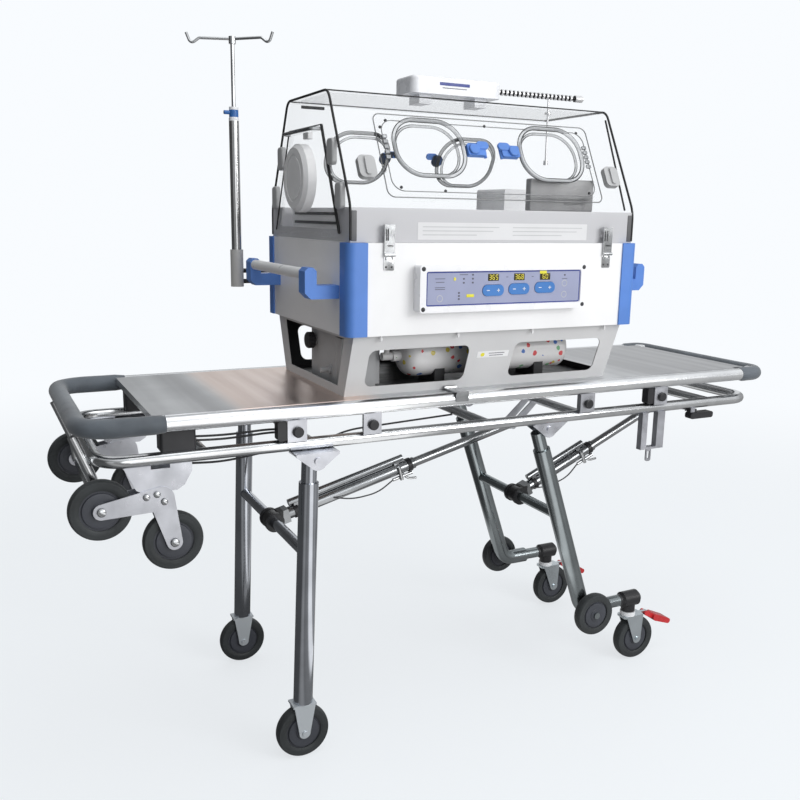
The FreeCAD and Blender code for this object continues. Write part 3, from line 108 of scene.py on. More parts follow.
class Recipe:
    """The node tree of one material, with short ways to add its nodes."""

    def __init__(self, name: str) -> None:
        """Start an empty material.

        Args:
            name: The material's name.
        """
        self.material = bpy.data.materials.new(name)
        self.material.use_nodes = True
        self.tree = self.material.node_tree
        self.tree.nodes.clear()
        self.coords = self.node("ShaderNodeTexCoord").outputs["Object"]
        self.axes = self.node("ShaderNodeSeparateXYZ", Vector=self.coords).outputs

    def node(self, kind: str, **inputs: object) -> bpy.types.Node:
        """Add a node and set or link its inputs.

        Args:
            kind: The node's type.
            inputs: Values or output sockets, by input name with _ for a space.

        Returns:
            The node.
        """
        made = self.tree.nodes.new(kind)
        for key, value in inputs.items():
            self.feed(made.inputs[key.replace("_", " ")], value)
        return made

    def feed(self, socket: bpy.types.NodeSocket, value: object) -> None:
        """Link an output to a socket, or set the socket's own value.

        Args:
            socket: The input to feed.
            value: An output socket, or a plain value.
        """
        if isinstance(value, bpy.types.NodeSocket):
            self.tree.links.new(value, socket)
        else:
            socket.default_value = value

    def math(self, operation: str, *values: object) -> bpy.types.NodeSocket:
        """One arithmetic step.

        Args:
            operation: The Math node's operation.
            values: Numbers or sockets, in order.

        Returns:
            The result's socket.
        """
        made = self.tree.nodes.new("ShaderNodeMath")
        made.operation = operation
        for socket, value in zip(made.inputs, values):
            self.feed(socket, value)
        return made.outputs[0]

    def mix(self, share: object, first: object, second: object) -> bpy.types.NodeSocket:
        """Blend two colours.

        Args:
            share: How much of the second.
            first: A triple or a socket.
            second: A triple or a socket.

        Returns:
            The blend's socket.
        """
        made = self.tree.nodes.new("ShaderNodeMix")
        made.data_type = "RGBA"
        for index, value in ((0, share), (6, first), (7, second)):
            solid = isinstance(value, tuple)
            self.feed(made.inputs[index], (*value, 1.0) if solid else value)
        return made.outputs[2]

    def noise(self, size: float, stretch: Triple = (1.0, 1.0, 1.0),
              detail: float = 3.0) -> bpy.types.NodeSocket:
        """Noise whose blobs are about one size across.

        Args:
            size: Width of a blob.
            stretch: Scale along each axis; under one draws the blobs out.
            detail: Octaves.

        Returns:
            A value about 0.5.
        """
        scale = tuple(s / size for s in stretch)
        mapped = self.node("ShaderNodeMapping", Vector=self.coords, Scale=scale).outputs[0]
        return self.node("ShaderNodeTexNoise", Vector=mapped, Scale=1.0, Detail=detail).outputs["Fac"]

    def span(self, value: object, low: float, high: float, start: float,
             end: float) -> bpy.types.NodeSocket:
        """Carry a value from one range to another, with soft ends.

        Args:
            value: The socket to carry.
            low: Where the first range starts.
            high: Where it ends.
            start: The result at its start.
            end: The result at its end.

        Returns:
            The result's socket.
        """
        made = self.node("ShaderNodeMapRange", Value=value)
        made.interpolation_type = "SMOOTHSTEP"
        for key, number in (("From Min", low), ("From Max", high), ("To Min", start), ("To Max", end)):
            made.inputs[key].default_value = number
        return made.outputs[0]

    def inside(self, low: Triple, high: Triple) -> bpy.types.NodeSocket:
        """A mask of a box: the product of one comparison for each axis.

        Args:
            low: The box's lowest corner.
            high: Its highest corner.

        Returns:
            One inside and nothing outside.
        """
        mask = None
        for axis in range(3):
            centre = 0.5 * (low[axis] + high[axis])
            half = 0.5 * (high[axis] - low[axis])
            near = self.math("COMPARE", self.axes[axis], centre, half)
            mask = near if mask is None else self.math("MULTIPLY", mask, near)
        return mask


@dataclass(frozen=True)
class Finish:
    """One surface finish, made from layered noise on the piece's own coordinates."""

    name: str
    slot: str
    colour: Colour
    roughness: float
    metallic: float = 0.0
    grain: Grain = Grain.EVEN
    pitch: float = 0.0015
    depth: float = 0.00003
    patina: float = 0.06
    wear: float = 0.08
    coat: float = 0.0
    sheen: float = 0.0
    alpha: float = 1.0
    rim_alpha: float = 1.0
    # Painted shade at grazing angles: the colour darkens towards this at the rim, in place of refraction.
    painted_rim_shade: Colour | None = None
    rim_span: tuple[float, float] = (0.1, 0.8)
    zones: tuple[Zone, ...] = ()
    facing: float = 0.35
    bump: float = 0.6
    coat_roughness: float = 0.08

    def tint(self, recipe: Recipe) -> bpy.types.NodeSocket:
        """The colour before any zone: the plain colour, darker and lighter in slow blotches.

        Args:
            recipe: The material under way.

        Returns:
            The colour's socket.
        """
        slow = recipe.noise(0.09, detail=5.0)
        dark = tuple(c * (1.0 - self.patina) for c in self.colour)
        light = tuple(min(1.0, c * (1.0 + self.patina)) for c in self.colour)
        return recipe.mix(recipe.span(slow, 0.3, 0.7, 0.0, 1.0), dark, light)

    def relief(self, recipe: Recipe) -> bpy.types.NodeSocket:
        """The height that the bump follows."""
        return recipe.noise(self.pitch, self.grain.value, 4.0)

    def material(self) -> bpy.types.Material:
        """Build the node tree.

        Returns:
            The finished material.
        """
        recipe = Recipe(self.name)
        colour = self.tint(recipe)
        fine = self.relief(recipe)
        rough_noise = recipe.noise(0.03, self.grain.value, 4.0)
        rough = recipe.span(rough_noise, 0.25, 0.75, max(0.02, self.roughness - self.wear),
                            self.roughness + self.wear)
        metallic: object = self.metallic
        alpha: object = self.alpha
        if self.rim_alpha != self.alpha or self.painted_rim_shade:
            facing = recipe.node("ShaderNodeLayerWeight", Blend=self.facing).outputs["Facing"]
            if self.rim_alpha != self.alpha:
                alpha = recipe.span(facing, *self.rim_span, self.alpha, self.rim_alpha)
            # Painted shade: darker at grazing angles.
            if self.painted_rim_shade:
                colour = recipe.mix(recipe.span(facing, *self.rim_span, 0.0, 1.0), colour, self.painted_rim_shade)
        for zone in self.zones:
            mask = recipe.inside(zone.low, zone.high)
            colour = recipe.mix(mask, colour, zone.colour)
            rough = recipe.math("ADD", recipe.math("MULTIPLY", mask, zone.roughness),
                                recipe.math("MULTIPLY", recipe.math("SUBTRACT", 1.0, mask), rough))
            if zone.metallic != self.metallic:
                share = recipe.math("MULTIPLY", mask, zone.metallic - self.metallic)
                metallic = recipe.math("ADD", share, metallic)
            if zone.alpha != self.alpha:
                share = recipe.math("MULTIPLY", mask, zone.alpha)
                alpha = recipe.math("MAXIMUM", share, alpha)
        bump = recipe.node("ShaderNodeBump", Height=fine, Strength=self.bump, Distance=self.depth)
        shader = recipe.node("ShaderNodeBsdfPrincipled", Base_Color=colour, Roughness=rough,
                             Metallic=metallic, Alpha=alpha, Normal=bump.outputs[0])
        shader.inputs["Coat Weight"].default_value = self.coat
        shader.inputs["Coat Roughness"].default_value = self.coat_roughness
        shader.inputs["Sheen Weight"].default_value = self.sheen
        recipe.node("ShaderNodeOutputMaterial", Surface=shader.outputs[0])
        return recipe.material


@dataclass(frozen=True)
class FoamFinish(Finish):
    """Closed-cell foam: small pits between cells, and a soft sheen."""

    def relief(self, recipe: Recipe) -> bpy.types.NodeSocket:
        """Cell walls stand a little above the cells.

        Args:
            recipe: The material under way.

        Returns:
            The height's socket.
        """
        cells = recipe.node("ShaderNodeTexVoronoi", Vector=recipe.coords, Scale=1.0 / self.pitch)
        cells.feature = "SMOOTH_F1"
        slow = recipe.noise(0.02, detail=3.0)
        return recipe.math("ADD", cells.outputs["Distance"], slow)


@dataclass(frozen=True)
class ConfettiFinish(Finish):
    """White wrap with small scattered flecks in four colours."""

    fleck: float = 0.021
    reach: float = 0.43
    bend: float = 0.22
    plain_shares: int = 2
    flecks: tuple[Colour, ...] = ((0.75, 0.10, 0.10), (0.10, 0.22, 0.60),
                                  (0.75, 0.62, 0.10), (0.20, 0.50, 0.25))

    def tint(self, recipe: Recipe) -> bpy.types.NodeSocket:
        """A fleck lies at the middle of some cells; the cell's own number picks its colour.

        Args:
            recipe: The material under way.

        Returns:
            The colour's socket.
        """
        colour = Finish.tint(self, recipe)
        bent = recipe.noise(0.008, detail=1.0)
        cells = recipe.node("ShaderNodeTexVoronoi", Vector=recipe.coords, Scale=1.0 / self.fleck)
        reach = recipe.math("ADD", cells.outputs["Distance"], recipe.math("MULTIPLY", bent, self.bend))
        near = recipe.math("LESS_THAN", reach, self.reach)
        number = recipe.node("ShaderNodeSeparateColor", Color=cells.outputs["Color"]).outputs[0]
        step = 1.0 / (len(self.flecks) + self.plain_shares)
        for index, fleck in enumerate(self.flecks):
            here = recipe.math("COMPARE", number, (index + 0.5) * step, 0.5 * step)
            colour = recipe.mix(recipe.math("MULTIPLY", near, here), colour, fleck)
        return colour


@dataclass(frozen=True)
class DeckFinish(Finish):
    """Brushed sheet with painted reflections along its length: from grey to a pinkish band and back, with
    dark bands.
    """

    # Painted reflections set in the colour: a pinkish band, a dark band beside it and a darker far end.
    painted_warm_reflection: Colour = (0.86, 0.72, 0.65)
    painted_warm_reflection_in: tuple[float, float] = (-0.640, -0.585)
    painted_warm_reflection_out: tuple[float, float] = (-0.330, -0.250)
    shade: Colour = (0.36, 0.36, 0.37)
    shade_in: tuple[float, float] = (-0.740, -0.665)
    shade_out: tuple[float, float] = (-0.660, -0.610)
    far_shade: tuple[float, float] = (0.40, 0.62)

    def tint(self, recipe: Recipe) -> bpy.types.NodeSocket:
        """The painted pinkish reflection lies between two soft edges along X, with a painted dark reflection
        beside it and over the far end.

        Args:
            recipe: The material under way.

        Returns:
            The colour's socket.
        """
        colour = Finish.tint(self, recipe)
        along = recipe.axes[0]
        rise = recipe.span(along, *self.painted_warm_reflection_in, 0.0, 1.0)
        fall = recipe.span(along, *self.painted_warm_reflection_out, 1.0, 0.0)
        colour = recipe.mix(recipe.math("MULTIPLY", rise, fall), colour, self.painted_warm_reflection)
        dark_in = recipe.span(along, *self.shade_in, 0.0, 0.7)
        dark_out = recipe.span(along, *self.shade_out, 1.0, 0.0)
        colour = recipe.mix(recipe.math("MULTIPLY", dark_in, dark_out), colour, self.shade)
        return recipe.mix(recipe.span(along, *self.far_shade, 0.0, 0.75), colour, self.shade)


@dataclass(frozen=True)
class GroovedFinish(Finish):
    """A ribbed arm with painted shade in the grooves, which lie nearer to its own axis along X than the
    ribs.
    """

    axis_z: float = 1.604
    reach: float = 0.0066
    # The colour of the painted shade in the grooves.
    painted_groove_shade: Colour = (0.012, 0.012, 0.013)

    def tint(self, recipe: Recipe) -> bpy.types.NodeSocket:
        """The square of the distance from the axis, a sum of two squares, picks where the painted shade
        goes.

        Args:
            recipe: The material under way.

        Returns:
            The colour's socket.
        """
        colour = Finish.tint(self, recipe)
        rise = recipe.math("SUBTRACT", recipe.axes[2], self.axis_z)
        square = recipe.math("ADD", recipe.math("MULTIPLY", recipe.axes[1], recipe.axes[1]),
                             recipe.math("MULTIPLY", rise, rise))
        near = recipe.math("LESS_THAN", square, self.reach ** 2)
        return recipe.mix(near, colour, self.painted_groove_shade)


@dataclass(frozen=True)
class FlareFinish(Finish):
    """Painted sheet of the flared base, with painted shade on every face that looks into it."""

    low: tuple[float, float] = (0.864, BASE_FOOT_Y)
    high: tuple[float, float] = (1.014, BASE_TOP_Y)
    end_half: float = 0.380
    sheet: float = 0.0022
    # The colour of the painted shade inside the base.
    inner: Colour = (0.030, 0.030, 0.032)

    def tint(self, recipe: Recipe) -> bpy.types.NodeSocket:
        """Painted shade where the point lies further in than most of the sheet, on both sides and both ends.

        Args:
            recipe: The material under way.

        Returns:
            The colour's socket.
        """
        colour = Finish.tint(self, recipe)
        lean = (self.high[1] - self.low[1]) / (self.high[0] - self.low[0])
        rise = recipe.math("MULTIPLY", recipe.math("SUBTRACT", recipe.axes[2], self.low[0]), lean)
        side = recipe.math("ADD", rise, self.low[1] - self.sheet)
        in_side = recipe.math("LESS_THAN", recipe.math("ABSOLUTE", recipe.axes[1]), side)
        offset = recipe.math("ABSOLUTE", recipe.math("SUBTRACT", recipe.axes[0], INC_X))
        in_end = recipe.math("LESS_THAN", offset, self.end_half - self.sheet)
        return recipe.mix(recipe.math("MULTIPLY", in_side, in_end), colour, self.inner)


BLACK: Colour = (0.018, 0.018, 0.020)
BLUE: Colour = (0.095, 0.235, 0.640)
WHITE: Colour = (0.86, 0.87, 0.89)

# Corners of the stretches that look different: the right legs' sockets and the left legs' forks.
SOCKET_LOW = (0.515, -0.30, 0.148)
SOCKET_HIGH = (0.600, 0.30, 0.220)
FORK_LOW = (-0.520, -0.30, 0.020)
FORK_HIGH = (-0.420, 0.30, 0.1395)

FINISHES: dict[str, Finish] = {f.name: f for f in (
    Finish("zinc_plate", "zinc", (0.60, 0.61, 0.65), 0.34, metallic=1.0, pitch=0.004, depth=0.00006,
           patina=0.16, wear=0.10),
    Finish("rail_steel", "zinc", (0.92, 0.93, 0.95), 0.24, metallic=1.0, grain=Grain.BRUSHED_X,
           pitch=0.001, depth=0.00002, patina=0.07, wear=0.06),
    Finish("lower_steel", "zinc", (0.72, 0.73, 0.74), 0.20, metallic=1.0, grain=Grain.BRUSHED_X,
           pitch=0.001, depth=0.00002, patina=0.12, wear=0.07),
    Finish("leg_chrome", "chrome", (0.50, 0.52, 0.56), 0.12, metallic=1.0, grain=Grain.BRUSHED_Z,
           pitch=0.001, depth=0.00001, patina=0.10, wear=0.05,
           zones=(Zone(FORK_LOW, FORK_HIGH, (0.62, 0.66, 0.69), 0.42, 0.55),)),
    Finish("socket_chrome", "chrome", (0.30, 0.33, 0.34), 0.20, metallic=1.0, grain=Grain.BRUSHED_Z,
           pitch=0.001, depth=0.00001, patina=0.12, wear=0.06,
           zones=(Zone(SOCKET_LOW, SOCKET_HIGH, BLACK, 0.35),)),
    Finish("brace_steel", "zinc", (0.32, 0.33, 0.34), 0.18, metallic=1.0, grain=Grain.BRUSHED_X,
           pitch=0.001, depth=0.00002, patina=0.14, wear=0.08,
           zones=(Zone((-0.492, -0.03, 0.485), (-0.440, 0.03, 0.538), BLACK, 0.35),
                  Zone((0.257, -0.03, 0.457), (0.311, 0.03, 0.511), BLACK, 0.35))),
    Finish("fork_zinc", "zinc", (0.58, 0.63, 0.66), 0.30, metallic=1.0, pitch=0.003, depth=0.00005,
           patina=0.10,
           zones=(Zone((0.50, -0.30, 0.1402), (0.61, 0.30, 0.1526), WHITE, 0.3),)),
    DeckFinish("deck_sheet", "deck", (0.66, 0.67, 0.68), 0.34, metallic=1.0, grain=Grain.BRUSHED_Y,
               pitch=0.0008, depth=0.00003, patina=0.05, wear=0.06),
    FoamFinish("grip_foam", "foam", (0.092, 0.108, 0.126), 0.62, pitch=0.0016, depth=0.0004, patina=0.22,
               wear=0.08, sheen=0.35),
    Finish("black_plastic", "black", (0.022, 0.022, 0.025), 0.42, pitch=0.0008, depth=0.00006,
           patina=0.2),
    Finish("tyre_rubber", "black_wheel", (0.026, 0.030, 0.032), 0.60, pitch=0.0006, depth=0.00008,
           patina=0.25, sheen=0.1),
    Finish("hub_plastic", "black_wheel", (0.052, 0.056, 0.068), 0.45, pitch=0.0008, depth=0.00006,
           patina=0.15),
    Finish("recess_rubber", "black_wheel", (0.012, 0.012, 0.014), 0.5, pitch=0.0008, depth=0.00006),
    Finish("pedal_red", "red", (0.60, 0.030, 0.035), 0.30, pitch=0.002, depth=0.00008, patina=0.10,
           coat=0.3),
    Finish("body_white", "body_grey", (0.90, 0.90, 0.905), 0.36, pitch=0.0012, depth=0.00004,
           patina=0.015, wear=0.04),
    # The base's inner faces carry painted shade.
    FlareFinish("base_paint", "base_grey", (0.66, 0.66, 0.665), 0.42, pitch=0.0009, depth=0.00006,
                patina=0.02),
    Finish("bumper_blue", "blue", BLUE, 0.42, pitch=0.0010, depth=0.00008, patina=0.05, wear=0.06),
    Finish("bright_white", "white", (0.88, 0.88, 0.89), 0.34, pitch=0.004, depth=0.000004, patina=0.02),
    Finish("panel_frame", "panel", (0.90, 0.90, 0.92), 0.32, pitch=0.0008, depth=0.00005, patina=0.03),
    Finish("panel_face", "panel", (0.33, 0.355, 0.51), 0.38, pitch=0.0006, depth=0.00002, patina=0.04),
    Finish("navy_line", "blue", (0.025, 0.045, 0.26), 0.4, pitch=0.0008, depth=0.00002),
    Finish("key_rubber", "key", (0.045, 0.190, 0.52), 0.38, pitch=0.0006, depth=0.00006, patina=0.06),
    Finish("display_window", "black", (0.045, 0.040, 0.012), 0.12, pitch=0.002, depth=0.00001, coat=0.4),
    Finish("display_digit", "panel", (0.90, 0.78, 0.08), 0.35, pitch=0.001, depth=0.00001),
    Finish("amber_mark", "panel", (0.80, 0.74, 0.05), 0.35, pitch=0.001, depth=0.00001),
    Finish("print_grey", "panel", (0.10, 0.10, 0.13), 0.5, pitch=0.001, depth=0.00001),
    Finish("acrylic", "clear", (0.84, 0.87, 0.89), 0.05, pitch=0.03, depth=0.00001, patina=0.02,
           wear=0.02, alpha=0.008, rim_alpha=0.30, rim_span=(0.35, 0.97),
           zones=(Zone((-0.5, -0.30, 1.20), (0.5, 0.30, 1.2985), (0.60, 0.60, 0.62), 0.30, 0.0, 0.88),)),
    Finish("clear_panel", "clear", (0.82, 0.85, 0.87), 0.05, pitch=0.03, depth=0.00001, patina=0.02,
           wear=0.02, alpha=0.008, rim_alpha=0.34, rim_span=(0.38, 0.97)),
    # Clear rims and edges: painted shade at grazing angles, in place of refraction.
    Finish("clear_rim", "clear", (0.72, 0.74, 0.76), 0.08, pitch=0.006, depth=0.00001, patina=0.05,
           wear=0.03, alpha=0.42, rim_alpha=1.0, painted_rim_shade=(0.010, 0.011, 0.012), rim_span=(0.20, 0.36)),
    Finish("clear_edge", "clear", (0.62, 0.64, 0.66), 0.10, pitch=0.006, depth=0.00001, patina=0.05,
           wear=0.03, alpha=0.50, rim_alpha=0.95, painted_rim_shade=(0.07, 0.075, 0.08), rim_span=(0.14, 0.40)),
    # Painted shade for the edges of clear plates.
    Finish("painted_shade_line", "clear", (0.16, 0.165, 0.17), 0.15, pitch=0.006, depth=0.00001, patina=0.10,
           wear=0.03),
    Finish("gasket_rubber", "black", (0.008, 0.008, 0.009), 0.45, pitch=0.001, depth=0.00005, patina=0.1),
    Finish("knob_grey", "grey_box", (0.46, 0.465, 0.47), 0.50, pitch=0.0007, depth=0.00008, patina=0.05),
    Finish("drum_grey", "grey_box", (0.86, 0.86, 0.865), 0.45, pitch=0.0009, depth=0.00006, patina=0.06),
    Finish("box_grey", "grey_box", (0.52, 0.525, 0.535), 0.45, pitch=0.001, depth=0.00006, patina=0.04),
    Finish("tray_white", "white", (0.78, 0.78, 0.79), 0.40, pitch=0.001, depth=0.00005, patina=0.03),
    Finish("mattress_cover", "mattress", (0.82, 0.83, 0.85), 0.55, pitch=0.0012, depth=0.00012,
           patina=0.04, sheen=0.3),
    Finish("duct_grey", "grey_box", (0.30, 0.30, 0.305), 0.35, pitch=0.001, depth=0.00004, patina=0.15),
    Finish("label_grey", "white", (0.70, 0.70, 0.71), 0.40, pitch=0.002, depth=0.000004, patina=0.02),
    Finish("dark_moulding", "grey_box", (0.10, 0.10, 0.105), 0.40, pitch=0.001, depth=0.00003,
           patina=0.10),
    ConfettiFinish("bottle_wrap", "bottle", (0.86, 0.85, 0.85), 0.35, pitch=0.006, depth=0.00015,
                   patina=0.04, coat=0.3),
    Finish("lamp_white", "lamp", (0.84, 0.85, 0.88), 0.30, pitch=0.001, depth=0.00004, patina=0.02),
    GroovedFinish("ribbed_arm", "steel", (0.80, 0.80, 0.81), 0.30, metallic=0.6, pitch=0.003,
                  depth=0.00003, patina=0.10),
    Finish("rod_steel", "steel", (0.42, 0.43, 0.44), 0.18, metallic=1.0, grain=Grain.BRUSHED_X,
           pitch=0.001, depth=0.00002, patina=0.10),
    Finish("bright_steel", "steel", (0.60, 0.61, 0.62), 0.20, metallic=1.0, pitch=0.003, depth=0.00003,
           patina=0.10),
    Finish("pole_steel", "steel", (0.60, 0.60, 0.60), 0.16, metallic=1.0, grain=Grain.BRUSHED_Z,
           pitch=0.001, depth=0.00002, patina=0.06, wear=0.05,
           zones=(Zone((-0.6, 0.2, 1.06), (-0.44, 0.3, 1.1862), (0.50, 0.50, 0.49), 0.42),
                  Zone((-0.5, 0.2, 1.515), (-0.45, 0.3, 1.5502), WHITE, 0.3),
                  Zone((-0.5, 0.2, 1.5245), (-0.45, 0.3, 1.5425), (0.03, 0.14, 0.42), 0.35),
                  Zone((-0.452, 0.2, 1.06), (-0.36, 0.3, 1.16), BLACK, 0.4))),
)}
MADE: dict[str, bpy.types.Material] = {}


def finish(name: str) -> bpy.types.Material:
    """The material of a finish, built the first time it is asked for.

    Args:
        name: The finish's name.

    Returns:
        Its material.
    """
    if name not in MADE:
        MADE[name] = FINISHES[name].material()
    return MADE[name]


def dress(name: str, *nodes: str) -> None:
    """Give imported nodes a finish.

    Args:
        name: The finish's name.
        nodes: The nodes' names.
    """
    for node in nodes:
        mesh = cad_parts[node].data
        mesh.materials.clear()
        mesh.materials.append(finish(name))
    LOG.info("%s on %s", name, ", ".join(nodes))


@dataclass(frozen=True)
class Plane:
    """A flat face: where it starts, and its directions to the right, up and outward."""

    origin: Triple
    right: Triple
    up: Triple
    out: Triple

    def at(self, u: Points, v: Points, w: Points) -> Points:
        """Points given by their distances from the origin.

        Args:
            u: To the right.
            v: Upward.
            w: Outward.

        Returns:
            The points, with x, y and z last.
        """
        u, v, w = np.broadcast_arrays(u, v, w)
        spread = u[..., None] * np.array(self.right) + v[..., None] * np.array(self.up)
        return np.array(self.origin) + spread + w[..., None] * np.array(self.out)


TILT = math.atan2(HOOD_HALF_Y - HOOD_TOP_HALF_Y, HOOD_TOP_Z - HOOD_KNEE_Z)
FRONT_SLOPE = Plane((INC_X, -HOOD_HALF_Y, HOOD_KNEE_Z), (1, 0, 0), (0, math.sin(TILT), math.cos(TILT)),
                    (0, -math.cos(TILT), math.sin(TILT)))
REAR_SLOPE = Plane((INC_X, HOOD_HALF_Y, HOOD_KNEE_Z), (1, 0, 0), (0, -math.sin(TILT), math.cos(TILT)),
                   (0, math.cos(TILT), math.sin(TILT)))


def front_plane(y: float) -> Plane:
    """An upright plane that faces the control panel side."""
    return Plane((0, y, 0), (1, 0, 0), (0, 0, 1), (0, -1, 0))


def left_plane(x: float) -> Plane:
    """An upright plane that faces the loading end; u runs along +Y."""
    return Plane((x, 0, 0), (0, 1, 0), (0, 0, 1), (-1, 0, 0))


def rounded(width: float, height: float, radius: float, centre: tuple[float, float] = (0.0, 0.0),
            steps: int = 8) -> Points:
    """A rounded rectangle: each corner is a quarter circle about a point pulled in by the radius.

    Args:
        width: Size to the right.
        height: Size upward.
        radius: Corner radius.
        centre: The middle.
        steps: Points on each corner.

    Returns:
        Points in order against the clock, as rows of u and v.
    """
    quarter = np.linspace(0.0, math.pi / 2, steps)
    corners = np.array([(1, 1), (-1, 1), (-1, -1), (1, -1)], float)
    turn = np.arange(4)[:, None] * math.pi / 2 + quarter[None, :]
    u = corners[:, :1] * (width / 2 - radius) + radius * np.cos(turn)
    v = corners[:, 1:] * (height / 2 - radius) + radius * np.sin(turn)
    return np.stack([u.ravel() + centre[0], v.ravel() + centre[1]], axis=1)


def pulled_in(outline: Points, inset: float) -> Points:
    """Move an outline inward, each point along the mean of its two edges' normals.

    Args:
        outline: Points in order against the clock.
        inset: How far inward; below nought moves them out.

    Returns:
        The moved outline.
    """
    ahead = np.roll(outline, -1, axis=0) - outline
    behind = outline - np.roll(outline, 1, axis=0)
    ahead = ahead / np.maximum(np.linalg.norm(ahead, axis=1, keepdims=True), TINY)
    behind = behind / np.maximum(np.linalg.norm(behind, axis=1, keepdims=True), TINY)
    normal = np.stack([-(ahead + behind)[:, 1], (ahead + behind)[:, 0]], axis=1)
    normal = normal / np.maximum(np.linalg.norm(normal, axis=1, keepdims=True), TINY)
    return outline + inset * normal


def plate(plane: Plane, outline: Points, low: float, high: float, soft: float = 0.0) -> Points:
    """A plate: the outline carried outward from low to high, its front edge rounded by a quarter circle.

    Args:
        plane: The face it stands on.
        outline: Its outline on that face.
        low: Where it starts, outward.
        high: Where it ends.
        soft: Radius of the rounded front edge.

    Returns:
        Rings of points, back to front.
    """
    if soft <= 0.0:
        layers = [(low, 0.0), (high, 0.0)]
    else:
        turn = np.linspace(0.0, math.pi / 2, 5)
        layers = [(low, 0.0)] + list(zip(high - soft + soft * np.sin(turn), soft * (1 - np.cos(turn))))
    rings = []
    for depth, inset in layers:
        ring = pulled_in(outline, inset)
        rings.append(plane.at(ring[:, 0], ring[:, 1], np.full(len(ring), depth)))
    return np.array(rings)


def border(plane: Plane, outer: Points, inner: Points, low: float, high: float,
           soft: float = 0.0005) -> Points:
    """A flat frame: a rectangle with two cut corners, carried round between two outlines.

    Args:
        plane: The face it stands on.
        outer: Its outer outline.
        inner: Its opening, with as many points.
        low: Where it starts, outward.
        high: Where it ends.
        soft: Size of the cut corners.

    Returns:
        Rings of points; the last one joins the first.
    """
    section = [(outer, 0.0, low), (outer, 0.0, high - soft), (outer, soft, high), (inner, -soft, high),
               (inner, 0.0, high - soft), (inner, 0.0, low)]
    rings = []
    for outline, inset, depth in section:
        ring = pulled_in(outline, inset)
        rings.append(plane.at(ring[:, 0], ring[:, 1], np.full(len(ring), depth)))
    return np.array(rings)


def bent_path(corners: list[Triple] | tuple[Triple, ...], radius: float, steps: int = 8) -> Points:
    """Straight runs joined by curves: each corner is a quadratic curve between points set back from it.

    Args:
        corners: The corners, with both ends.
        radius: The most that a curve starts before its corner; it never takes half of a run.
        steps: Points on each curve.

    Returns:
        The points along the path.
    """
    run_share = 0.48
    points = np.array(corners, float)
    path = [points[:1]]
    share = np.linspace(0.0, 1.0, steps)[:, None]
    for index in range(1, len(points) - 1):
        corner = points[index]
        before = points[index - 1] - corner
        after = points[index + 1] - corner
        reach = min(radius, run_share * np.linalg.norm(before), run_share * np.linalg.norm(after))
        start = corner + before / np.linalg.norm(before) * reach
        end = corner + after / np.linalg.norm(after) * reach
        path.append((1 - share) ** 2 * start + 2 * share * (1 - share) * corner + share ** 2 * end)
    path.append(points[-1:])
    return np.concatenate(path)


def round_bar(path: Points, radius: float | Points, across: Triple, sides: int = 16,
              looped: bool = False) -> Points:
    """A circle carried along a path: each ring lies across the path's direction there.

    Args:
        path: The points followed.
        radius: One radius, or one for each point.
        across: A direction that is never along the path.
        sides: Points on each ring.
        looped: Whether the path closes on itself.

    Returns:
        Rings of points.
    """
    if looped:
        way = np.roll(path, -1, axis=0) - np.roll(path, 1, axis=0)
    else:
        way = np.gradient(path, axis=0)
    way = way / np.linalg.norm(way, axis=1, keepdims=True)
    side = np.cross(way, np.array(across, float))
    side = side / np.linalg.norm(side, axis=1, keepdims=True)
    lift = np.cross(side, way)
    turn = np.linspace(0.0, 2 * math.pi, sides, endpoint=False)
    reach = np.broadcast_to(np.asarray(radius, float), (len(path),))[:, None, None]
    ring = np.cos(turn)[None, :, None] * side[:, None, :] + np.sin(turn)[None, :, None] * lift[:, None, :]
    return path[:, None, :] + reach * ring


def turned(profile: list[tuple[float, float]] | tuple[tuple[float, float], ...], centre: Triple,
           along: Along, sides: int = 48) -> Points:
    """A lathe: each row of the profile becomes a circle.

    Args:
        profile: Rows of a place along the axis and a radius.
        centre: The point on the axis where the place is nought.
        along: The axis.
        sides: Points on each circle.

    Returns:
        Rings of points.
    """
    axis, first, second = (np.array(v) for v in along.value)
    rows = np.array(profile, float)
    turn = np.linspace(0.0, 2 * math.pi, sides, endpoint=False)
    circle = np.cos(turn)[:, None] * first + np.sin(turn)[:, None] * second
    middle = np.array(centre) + rows[:, :1] * axis
    return middle[:, None, :] + rows[:, 1][:, None, None] * circle[None, :, :]


